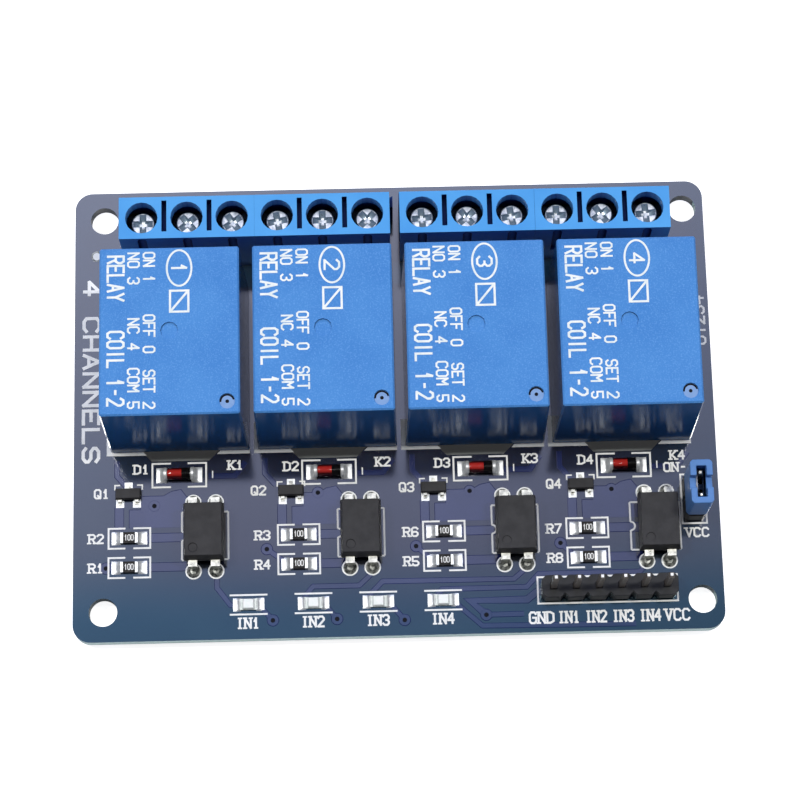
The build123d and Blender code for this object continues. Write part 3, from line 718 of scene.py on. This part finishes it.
DRIVE_VIAS = [(-27.42, -11.02), (-8.89, -9.9), (8.32, -10.1), (24.42, -10.25)]
CHIP_VIAS = [(-32.88, -18.1), (-14.75, -16.3), (2.09, -16.35), (18.39, -16.36)]
LAMP_PAD = (1.6, -0.6)
CHIP_PAD = 0.4
for lamp, place in zip(LAMP_MIDDLES, LAMP_VIAS):
    trace([(lamp.x + LAMP_PAD[0], lamp.y + LAMP_PAD[1]), place])
for chip, place in zip(LOWER_CHIPS, CHIP_VIAS):
    trace([(chip[0].x - PAD_REACH, middle(chip).y + CHIP_PAD), place])
for place in [*LAMP_VIAS, *DRIVE_VIAS, *CHIP_VIAS, HEADER_VIA]:
    via(*place)
# From the middle of each relay's front edge
COIL_ROUTES = (
    [(3.2, -3.2), (6.2, -3.2), (7.4, -1.6)],
    [(-7.2, -1.2), (-7.2, -3.0), (-6.0, -4.4)],
)
for relay in RELAYS:
    for route in COIL_ROUTES:
        trace([(middle(relay).x + x, relay[0].y + y) for x, y in route])
traces.piece("copper_traces", copper.material, "solder_mask")
via_drills.piece("via_drills", hole_dark.material, "solder_mask")

# White print on the board

INK_Z = (TOP + BURIED, TOP + INK_RISE)
LINE = 0.2
LETTER = 0.98
STROKE = 0.21
print_ink = Shape()


def draw(points, line=LINE):
    print_ink.ribbon(points, line, *INK_Z)


def label(words, x, y, height=LETTER, line=STROKE, narrow=1.0):
    write(print_ink, words, (x, y), height, line, INK_Z, feet=True, narrow=narrow)


def gapped_box(x, y, length, width, gap):
    """A component outline, open in the middle of its long sides."""
    left, right = x - length / 2, x + length / 2
    for side in (-1, 1):
        edge = y + side * width / 2
        draw([(left, edge), (x - gap / 2, edge)])
        draw([(x + gap / 2, edge), (right, edge)])
    reach = width / 2 + LINE / 2
    for edge in (left, right):
        draw([(edge, y - reach), (edge, y + reach)])


DIODE_BOX = {"length": 6.1, "width": 2.75, "gap": 1.9}
DIODE_LABEL = (-4.3, 0.75)
DIODE_TICK = (3.78, 0.42)
TICK_LINE = 0.14


def diode_print(number, diode):
    gapped_box(*diode.xy, **DIODE_BOX)
    label("D" + number, diode.x + DIODE_LABEL[0], diode.y + DIODE_LABEL[1])


def tick_print(diode):
    x = diode.x + DIODE_TICK[0]
    draw([(x, diode.y - DIODE_TICK[1]), (x, diode.y + DIODE_TICK[1])], TICK_LINE)


CORNER_LINE = 0.16
CORNER_HALF_LENGTH = 1.55
CORNER_BACK = 1.15
CORNER_ARM = (0.6, 0.55)


def corner_print(body):
    """Two corner marks behind a drive transistor."""
    back = body.y + CORNER_BACK
    for side in (-1, 1):
        outer = body.x + side * CORNER_HALF_LENGTH
        inner = outer - side * CORNER_ARM[0]
        draw([(outer, back - CORNER_ARM[1]), (outer, back), (inner, back)], CORNER_LINE)


OPTO_HALF_LENGTH = 2.75
OPTO_LINE = 2.62
OPTO_FOOT = 2.1
NOTCH = 0.5
NOTCH_STEPS = 12


def opto_print(centre, left_line):
    """The outline of an optocoupler, with a round notch in its left line."""
    turns = [math.pi * (k / NOTCH_STEPS - 0.5) for k in range(NOTCH_STEPS + 1)]
    notch_x = centre.x - left_line
    draw([(notch_x + NOTCH * math.cos(t), centre.y + NOTCH * math.sin(t)) for t in turns])
    for side, gap, offset in ((-1, NOTCH, left_line), (1, 0.0, OPTO_LINE)):
        edge = centre.x + side * offset
        foot = centre.x + side * OPTO_FOOT
        for end in (-1, 1):
            corner = centre.y + end * OPTO_HALF_LENGTH
            draw([(edge, centre.y + end * gap), (edge, corner)])
            draw([(edge, corner), (foot, corner)])


LAMP_LINE = (2.12, 1.1)
LAMP_LABEL = (-0.1, -2.1)
LAMP_LETTER = {"height": 1.12, "line": 0.23, "narrow": 0.86}


def lamp_print(number, lamp):
    for side in (-1, 1):
        edge = lamp.y + side * LAMP_LINE[1]
        draw([(lamp.x - LAMP_LINE[0], edge), (lamp.x + LAMP_LINE[0], edge)])
    label("IN" + number, lamp.x + LAMP_LABEL[0], lamp.y + LAMP_LABEL[1], **LAMP_LETTER)


BRACKET_OUTER = (-0.25, 8.15)
BRACKET_FOOT = (0.15, 4.0)
BRACKET_FRONT = -0.62
BRACKET_INNER = -0.15
BRACKET_BACK = 3.0
BRACKET_LINE = 0.5
BRACKET_SLANT = 0.45


def bracket_print(relay):
    """Corner brackets under the front edge of a relay, cut off by the milled slot."""
    front, inner, back = (relay[0].y + y for y in (BRACKET_FRONT, BRACKET_INNER, BRACKET_BACK))
    for side in (-1, 1):
        outer = middle(relay).x + BRACKET_OUTER[0] + side * BRACKET_OUTER[1]
        foot = middle(relay).x + BRACKET_FOOT[0] + side * BRACKET_FOOT[1]
        arm = outer - side * BRACKET_LINE
        bracket = [(outer, front), (foot, front), (foot + side * BRACKET_SLANT, inner),
                   (arm, inner), (arm, back), (outer, back)]
        print_ink.plate(bracket if side < 0 else list(reversed(bracket)), *INK_Z)


OPTO_LEFT_LINES = (OPTO_LINE, OPTO_LINE, OPTO_LINE, 3.0)
RELAY_LABEL = (6.25, -1.95)
DRIVE_LABELS = (-3.05, -3.69, -3.05, -3.05)
DRIVE_LABEL_RISE = 0.2
for i in range(CHANNELS):
    number = str(i + 1)
    diode = middle(DIODES[i])
    relay = RELAYS[i]
    body = middle(TRANSISTORS[i])
    diode_print(number, diode)
    label("K" + number, middle(relay).x + RELAY_LABEL[0], relay[0].y + RELAY_LABEL[1])
    label("Q" + number, body.x + DRIVE_LABELS[i], body.y + DRIVE_LABEL_RISE)
    tick_print(diode)
    corner_print(body)
    opto_print(middle(OPTOS[i]), OPTO_LEFT_LINES[i])
    lamp_print(number, LAMP_MIDDLES[i])
    bracket_print(relay)

CHIP_BOX = {"length": 4.7, "width": 2.3, "gap": 0.9}
CHIP_LABELS = (-3.75, -4.08, -3.75, -3.75)
CHIP_NAMES = (("R2", "R1"), ("R3", "R4"), ("R6", "R5"), ("R7", "R8"))
for names, offset, upper, lower in zip(CHIP_NAMES, CHIP_LABELS, UPPER_CHIPS, LOWER_CHIPS):
    for name, chip in zip(names, (upper, lower)):
        spot = middle(chip)
        gapped_box(*spot.xy, **CHIP_BOX)
        label(name, spot.x + offset, spot.y)


def box_print(box, left, right, ends):
    """A closed outline round a header, with a margin on each side."""
    low, high = box
    print_ink.frame(low.x - left, high.x + right, low.y - ends, high.y + ends, LINE, *INK_Z)


HEADER_LABELS = ("GND", "IN1", "IN2", "IN3", "IN4", "VCC")
HEADER_LETTER = 1.22
HEADER_STROKE = 0.23
HEADER_SPREAD = 1.2
HEADER_OFFSET = (-0.04, -3.1)
INPUT_NARROW = 0.74
POWER_NARROW = 0.86
header = box_mm("input_header")
header_x = middle(header).x
box_print(header, left=0.35, right=0.12, ends=0.25)
for words, pin in zip(HEADER_LABELS, INPUT_PINS):
    spot = middle(pin)
    x = header_x + (spot.x - header_x) * HEADER_SPREAD + HEADER_OFFSET[0]
    narrow = INPUT_NARROW if words.startswith("IN") else POWER_NARROW
    label(words, x, spot.y + HEADER_OFFSET[1], HEADER_LETTER, HEADER_STROKE, narrow)
FRONT_LABEL = (0.24, -1.35)
FRONT_NARROW = 1.02
BACK_LABEL = (-1.9, 1.2)
jumper = box_mm("jumper_header")
jumper_x = middle(jumper).x
box_print(jumper, left=0.1, right=0.15, ends=0.3)
label("VCC", jumper_x + FRONT_LABEL[0], jumper[0].y + FRONT_LABEL[1], narrow=FRONT_NARROW)
label("ON-", jumper_x + BACK_LABEL[0], jumper[1].y + BACK_LABEL[1])
TO_FRONT = (0, -1)
TO_BACK = (0, 1)
LEFT_WORDS = (BOARD[0].x + 1.95, 5.0)
LEFT_LETTER = {"height": 1.75, "line": 0.38, "narrow": 1.35}
RIGHT_WORDS = (BOARD[1].x - 1.2, 9.5)
RIGHT_LETTER = {"height": 1.3, "line": 0.24}
write(print_ink, "4 CHANNELS", LEFT_WORDS, z=INK_Z, along=TO_FRONT, **LEFT_LETTER)
write(print_ink, "01234", RIGHT_WORDS, z=INK_Z, along=TO_BACK, **RIGHT_LETTER)
print_ink.piece("board_print", ink.material, "solder_mask")

# Solder on the top side

JOINT_EDGE = 0.04
LEAD_PAD = (0.45, 0.25, 0.05)
RESISTOR_JOINT = {"near": 0.3, "far": 1.35, "width": 1.5, "rise": 0.5}
LAMP_JOINT = {"near": -0.15, "far": 0.75, "width": 1.5, "rise": 0.42}
DIODE_JOINT = {"near": -0.35, "far": 0.85, "width": 1.75, "rise": 1.05}
TOUCHING = 0.05
joints = Shape()


def end_joint(chip, outward, near, far, width, rise):
    """A solder fillet that climbs from the pad to the left or right end of a chip."""
    def height(u, v):
        round_off = 1 - abs(2 * v - 1) ** 4
        return (JOINT_EDGE + (rise - JOINT_EDGE) * (1 - u) ** 3) * round_off ** 0.5
    end = chip[1].x if outward > 0 else chip[0].x
    y = middle(chip).y
    joints.pillow(end + outward * near, end + outward * far, y - width / 2, y + width / 2, TOP, height)


for chips, joint in ((RESISTORS, RESISTOR_JOINT), (LAMPS, LAMP_JOINT)):
    for chip in chips:
        end_joint(chip, -1, **joint)
        end_joint(chip, 1, **joint)
for cap in DIODE_CAPS:
    on_right = any(abs(cap[0].x - diode[1].x) < TOUCHING for diode in DIODES)
    end_joint(cap, 1 if on_right else -1, **DIODE_JOINT)
for lead in TRANSISTOR_LEADS:
    x = middle(lead).x
    half, margin, rise = LEAD_PAD
    joints.bar(x - half, x + half, lead[0].y - margin, lead[1].y + margin, TOP + BURIED, TOP + rise)
joints.piece("top_joints", solder.material, "tinned_lead", smooth=True)

# Profiles are pairs of radius and height
RING = [(0.93, 0.0), (0.93, 0.05), (0.77, 0.07), (0.76, 0.0)]
DISH = [(0.77, 0.02), (0.5, 0.1), (0.34, 0.26), (0.05, 0.28)]
RING_OFFSET = (-0.05, -0.1)
OPTO_MIDDLE = middle(OPTOS[0]).y
rings = Shape()
dishes = Shape()


def in_front(lead):
    return middle(lead).y < OPTO_MIDDLE


for lead in OPTO_LEADS:
    outer_y = lead[0].y if in_front(lead) else lead[1].y
    place = (middle(lead).x + RING_OFFSET[0], outer_y + RING_OFFSET[1], TOP)
    rings.lathe(place, RING)
    dishes.lathe(place, DISH)
# The rings carry the painted highlight of the solder, the dishes its painted shade
rings.piece("lead_rings", solder_highlight.material, "tinned_lead")
dishes.piece("lead_joints", shaded_solder.material, "tinned_lead", smooth=True)

# Solder on the underside, round the tails of the leads

CONE = [(0.95, 0.0), (0.9, -0.12), (0.62, -0.35), (0.42, -0.8), (0.33, -1.25), (0.05, -1.3)]
OPTO_TAIL = 0.15
STRIP_TAIL = 0.3
cones = Shape()
for lead in RELAY_LEADS:
    cones.lathe((*middle(lead).xy, UNDER), CONE)
for lead in OPTO_LEADS:
    y = lead[0].y + OPTO_TAIL if in_front(lead) else lead[1].y - OPTO_TAIL
    cones.lathe((middle(lead).x, y, UNDER), CONE)
for lead in (*INPUT_PINS, *JUMPER_PINS):
    cones.lathe((*middle(lead).xy, UNDER), CONE)
for strip in STRIPS:
    cones.lathe((middle(strip).x, strip[0].y + STRIP_TAIL, UNDER), CONE)
cones.piece("under_joints", solder.material, "tinned_lead", smooth=True)

# Glass diodes

GLASS_NECK = 0.9
GLASS_STRAIGHT = 0.8
BAND_START = 0.25
BAND_RISE = 0.012
CAP_ROUND = 0.08
glass = Shape()
bands = Shape()
caps = Shape()


def along_x(box):
    """The middle, radius and half length of a round solid that lies from left to right."""
    low, high = box
    return tuple(middle(box)), (high.z - low.z) / 2, (high.x - low.x) / 2


def mirrored(profile):
    """A whole profile from its left half."""
    return profile + [(radius, -place) for radius, place in reversed(profile)]


for diode in DIODES:
    place, radius, half = along_x(diode)
    neck = (radius * GLASS_NECK, -half)
    glass.lathe(place, mirrored([(0.0, -half), neck, (radius, -half * GLASS_STRAIGHT)]), axis="x")
    start = half * BAND_START
    outer = radius + BAND_RISE
    band = [(radius, start), (outer, start), (outer, half), (radius, half)]
    bands.lathe(place, band, closed=True, axis="x")
for cap in DIODE_CAPS:
    place, radius, half = along_x(cap)
    rounding = [(radius - CAP_ROUND, -half), (radius, -half + CAP_ROUND)]
    caps.lathe(place, mirrored([(0.0, -half), *rounding]), axis="x")
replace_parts(glass.piece("diode_bodies", glass_red.material, "diode_glass", smooth=True), "diode_glass")
bands.piece("diode_bands", band_black.material, "diode_glass", smooth=True)
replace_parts(caps.piece("diode_caps", solder.material, "tinned_lead", smooth=True), "diode_end_caps")

# Codes on the resistors and dice in the lamps

CODE = {"height": 0.62, "line": 0.09, "narrow": 0.62}
codes = Shape()
for chip in RESISTORS:
    top = chip[1].z
    write(codes, "100", middle(chip).xy, z=(top + BURIED, top + PRINT_RISE), **CODE)
codes.piece("resistor_codes", ink.material, "resistor_black")

DIE_HALF = 0.16
DIE_RISE = 0.12
lamp_dice = Shape()
for lamp in LAMPS:
    x, y = middle(lamp).xy
    top = lamp[1].z
    lamp_dice.bar(x - DIE_HALF, x + DIE_HALF, y - DIE_HALF, y + DIE_HALF, top + BURIED, top + DIE_RISE)
lamp_dice.piece("lamp_dice", lamp_chip.material, "lamp_base")

# Clamp screws with a cross-shaped drive, one piece to each turning body

DRIVE_ARM = 0.76
DRIVE_DEPTH = 0.5
DRIVE_TAPER = 0.4
DRIVE_REACH = 0.86
# How far each drive happens to be turned, in degrees
DRIVE_TURNS = (0, 40, 35, 10, 0, 45, 5, 40, 10, 0, 35, 5)
SHANK_INSET = 0.25
HEAD_INSET = 0.02
HEAD_DEPTH = 1.2
RIM_WIDTH = 0.12
RIM_ROUND = (0.04, 0.03)


def drive_outline(spot, radius, degrees):
    """The cross of the drive on the screw's face, anticlockwise."""
    arm = DRIVE_ARM / 2
    reach = radius * DRIVE_REACH
    turn = Matrix.Rotation(math.radians(degrees), 2)
    quarter = [Vector((arm, reach)), Vector((-arm, reach)), Vector((-arm, arm))]
    corners = []
    for k in range(4):
        step = Matrix.Rotation(math.pi / 2 * k, 2)
        corners += [Vector(spot.xy) + turn @ step @ corner for corner in quarter]
    return corners


def add_recess(head, spot, cross, top):
    """The walls and the floor of the drive, which narrow downwards."""
    n = len(cross)
    centre = Vector(spot.xy)
    tapered = [centre + (corner - centre) * DRIVE_TAPER for corner in cross]
    points = [(*corner, top) for corner in cross] + [(*corner, top - DRIVE_DEPTH) for corner in tapered]
    walls = [(i, (i + 1) % n, n + (i + 1) % n, n + i) for i in range(n)]
    head.add(points, [*walls, tuple(range(n, 2 * n))])


def add_face(head, rim, cross, top):
    """The level face: each point of the rim joins the nearest corner of the cross."""
    n = len(cross)
    closest = [min(range(n), key=lambda i: (cross[i] - Vector(point)).length_squared) for point in rim]
    faces = []
    for k in range(SIDES):
        following = (k + 1) % SIDES
        corner = closest[k]
        faces.append((k, following, SIDES + corner))
        while corner != closest[following]:
            after = (corner + 1) % n
            faces.append((following, SIDES + after, SIDES + corner))
            corner = after
    head.add([(*point, top) for point in rim] + [(*corner, top) for corner in cross], faces)


for number, screw in enumerate(SCREWS, 1):
    spot = middle(screw)
    bottom, top = screw[0].z, screw[1].z
    radius = (screw[1].x - screw[0].x) / 2
    head = Shape()
    head.lathe((*spot.xy, 0), [
        (0.0, bottom), (radius - SHANK_INSET, bottom), (radius - HEAD_INSET, top - HEAD_DEPTH),
        (radius, top - RIM_WIDTH), (radius - RIM_ROUND[0], top - RIM_ROUND[1]), (radius - RIM_WIDTH, top),
    ])
    cross = drive_outline(spot, radius, DRIVE_TURNS[number - 1])
    add_recess(head, spot, cross, top)
    add_face(head, circle(*spot.xy, radius - RIM_WIDTH), cross, top)
    piece = head.piece(f"screw_head_{number}", zinc.material, "zinc_steel", f"screw_{number}", smooth=True)
    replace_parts(piece, f"clamp_screw_{number}")

# Relay print: lines of words that run towards the front, a ringed number and a coil sign

RELAY_LINES = (
    ("RELAY   COIL 1-2", -5.85, {"height": 1.75, "line": 0.26, "narrow": 0.66}),
    ("NO 3    NC 4  COM 5", -3.9, {"height": 1.2, "line": 0.2, "narrow": 0.84}),
    ("ON 1    OFF 0  SET 2", -2.2, {"height": 1.2, "line": 0.2, "narrow": 0.8}),
)
WORDS_OFFSET = 0.1
OVAL_CENTRE = (1.1, 7.1)
OVAL_HALF = (1.35, 2.05)
OVAL_LINE = 0.22
NUMBER_HEIGHT = 1.6
SIGN_LINE = 0.24
SIGN_LOW = (0.1, 2.1)
SIGN_HIGH = (2.1, 4.5)
for number, relay in enumerate(RELAYS, 1):
    x, y = middle(relay).xy
    z = (relay[1].z + BURIED, relay[1].z + PRINT_RISE)
    marks = Shape()
    for words, across, style in RELAY_LINES:
        write(marks, words, (x + across, y + WORDS_OFFSET), z=z, along=TO_FRONT, **style)
    oval_x = x + OVAL_CENTRE[0]
    oval_y = y + OVAL_CENTRE[1]
    turns = [2 * math.pi * k / SIDES for k in range(SIDES + 1)]
    oval = [(oval_x + OVAL_HALF[0] * math.cos(t), oval_y + OVAL_HALF[1] * math.sin(t)) for t in turns]
    marks.ribbon(oval, OVAL_LINE, *z)
    write(marks, str(number), (oval_x, oval_y), NUMBER_HEIGHT, SIGN_LINE, z, TO_FRONT)
    low = (x + SIGN_LOW[0], y + SIGN_LOW[1])
    high = (x + SIGN_HIGH[0], y + SIGN_HIGH[1])
    marks.frame(low[0], high[0], low[1], high[1], SIGN_LINE, *z)
    marks.ribbon([low, high], SIGN_LINE, *z)
    marks.piece(f"relay_print_{number}", relay_ink.material, "relay_blue")

# Relay vents: a pale dish with its far side in shade, and a pin-hole in the middle

VENT_INSET = 1.4
VENT_RADIUS = 0.82
VENT_FLOOR = (-0.22, -0.198)
SHADE_RADIUS = 0.73
SHADE_LINE = 0.2
SHADE_TURNS = range(15, 186, 10)
SHADE_FLOOR = (-0.22, -0.19)
PIN_HOLE_RADIUS = 0.2
PIN_HOLE_FLOOR = (-0.25, -0.18)
vent_floors = Shape()
vent_shades = Shape()
pin_holes = Shape()


def below(top, depths):
    return [top + depth for depth in depths]


for relay in RELAYS:
    x, y, top = relay[1].x - VENT_INSET, relay[0].y + VENT_INSET, relay[1].z
    turns = [math.radians(degrees) for degrees in SHADE_TURNS]
    shade = [(x + SHADE_RADIUS * math.cos(t), y + SHADE_RADIUS * math.sin(t)) for t in turns]
    vent_floors.disc(x, y, VENT_RADIUS, *below(top, VENT_FLOOR))
    vent_shades.ribbon(shade, SHADE_LINE, *below(top, SHADE_FLOOR))
    pin_holes.disc(x, y, PIN_HOLE_RADIUS, *below(top, PIN_HOLE_FLOOR))
vent_floors.piece("vent_dishes", vent_pale.material, "relay_blue")
vent_shades.piece("vent_shades", hole_dark.material, "relay_blue")
pin_holes.piece("vent_pin_holes", hole_dark.material, "relay_blue")

# Tooling hole at the back left

TOOLING_PLACE = (BOARD[0].x + 2.5, BOARD[1].y - 7.7)
TOOLING_RADIUS = 0.45
TOOLING_RIM = 0.62
TOOLING_RISE = 0.03
tooling = Shape()
tooling.disc(*TOOLING_PLACE, TOOLING_RADIUS, *COPPER_Z)
tooling.piece("tooling_hole", hole_pale.material, "solder_mask")
tooling_rim = Shape()
tooling_rim.ring(*TOOLING_PLACE, TOOLING_RADIUS, TOOLING_RIM, TOP + BURIED, TOP + TOOLING_RISE)
tooling_rim.piece("tooling_rim", shaded_solder.material, "tinned_lead")

# Floor: white to the camera, but shaded under the middle of the board

FLOOR_HALF = 1.5
SHADE_HALF = (36, 21)
SHADE_START = 0.9
SHADE_COLOUR = (150, 156, 156)
GLOW_IN_SHADE = 0.03
GLOW = 0.9
corners = [(x * FLOOR_HALF, y * FLOOR_HALF, 0) for x, y in ((-1, -1), (1, -1), (1, 1), (-1, 1))]
floor_mesh = bpy.data.meshes.new("floor")
floor_mesh.from_pydata(corners, [], [(0, 1, 2, 3)])
floor = new_object("floor", floor_mesh)
paper = Finish("studio floor", (236, 236, 236), (242, 242, 242), patch=200, roughness=0.9)
away = paper.box_reach(*SHADE_HALF)
paper.tint(paper.fade(away, 1.0, SHADE_START), SHADE_COLOUR)
seen = paper.node("LightPath").outputs["Is Camera Ray"]
strength = paper.work_out("MULTIPLY", seen, paper.fade(away, SHADE_START, 1.0, GLOW_IN_SHADE, GLOW))
glow = paper.node("Emission", Color=WHITE)
paper.join(strength, glow.inputs["Strength"])
lit = paper.node("AddShader")
paper.join(paper.surface.outputs["BSDF"], lit.inputs[0])
paper.join(glow.outputs["Emission"], lit.inputs[1])
paper.join(lit.outputs["Shader"], paper.tree.nodes["Material Output"].inputs["Surface"])
floor_mesh.materials.append(paper.material)

# World: one wide soft source, high behind the part, which the glossy board mirrors

SOURCE = (-0.08, 0.615, 0.784)
SOURCE_EDGE = 0.84
SKY_LEVEL = 0.05
SOURCE_LEVEL = 2.6
TINT_STEP = (0.9, 0.93)
OUTER_TINT = (0.56, 0.64, 1.0, 1)
INNER_TINT = (0.7, 0.74, 1.0, 1)
world = bpy.data.worlds.new("studio")
bpy.context.scene.world = world
world.use_nodes = True
sky = Nodes(world.node_tree)
background = world.node_tree.nodes["Background"]
facing_source = sky.work_out_vector("DOT_PRODUCT", sky.node("TexCoord").outputs["Generated"])
facing_source.inputs[1].default_value = SOURCE
nearness = facing_source.outputs["Value"]
sky.join(sky.fade(nearness, SOURCE_EDGE, 1.0, SKY_LEVEL, SOURCE_LEVEL), background.inputs["Strength"])
sky.join(sky.blend(sky.fade(nearness, *TINT_STEP), OUTER_TINT, INNER_TINT), background.inputs["Color"])

# Lamps, in metres and watts: one overhead and one on each side

WARM = (1, 0.985, 0.95)


def area_light(name, place, size, power):
    data = bpy.data.lights.new(name, "AREA")
    data.shape = "DISK"
    data.size = size
    data.energy = power
    data.color = WARM
    lamp = new_object(name, data)
    lamp.location = place
    lamp.rotation_euler = Vector(place).to_track_quat("Z", "Y").to_euler()


area_light("overhead", (0, -0.01, 0.7), size=0.05, power=0.3)
area_light("side", (-0.24, 0.03, 0.6), size=0.1, power=1.75)
area_light("side", (0.24, 0.03, 0.6), size=0.1, power=1.3)

# The camera stands over the front edge and looks down, a little from the left

CAMERA_AIM = Vector((0.688, 0.757, TOP)) * MM
CAMERA_DISTANCE = 301.9 * MM
CAMERA_HEIGHT_ANGLE = math.radians(75.06)
CAMERA_SIDE_ANGLE = math.radians(-2.2)
CAMERA_ROLL = math.radians(0.828)
CAMERA_LENS = 118.65
CAMERA_SENSOR = 36
toward_camera = Vector((
    math.cos(CAMERA_HEIGHT_ANGLE) * math.sin(CAMERA_SIDE_ANGLE),
    -math.cos(CAMERA_HEIGHT_ANGLE) * math.cos(CAMERA_SIDE_ANGLE),
    math.sin(CAMERA_HEIGHT_ANGLE),
))
camera_data = bpy.data.cameras.new("camera")
camera_data.lens = CAMERA_LENS
camera_data.sensor_width = CAMERA_SENSOR
camera = new_object("camera", camera_data)
camera.location = CAMERA_AIM + toward_camera * CAMERA_DISTANCE
facing = toward_camera.to_track_quat("Z", "Y").to_matrix()
camera.rotation_euler = (facing @ Matrix.Rotation(CAMERA_ROLL, 3, "Z")).to_euler()
bpy.context.scene.camera = camera
bpy.context.scene.view_settings.view_transform = "Standard"
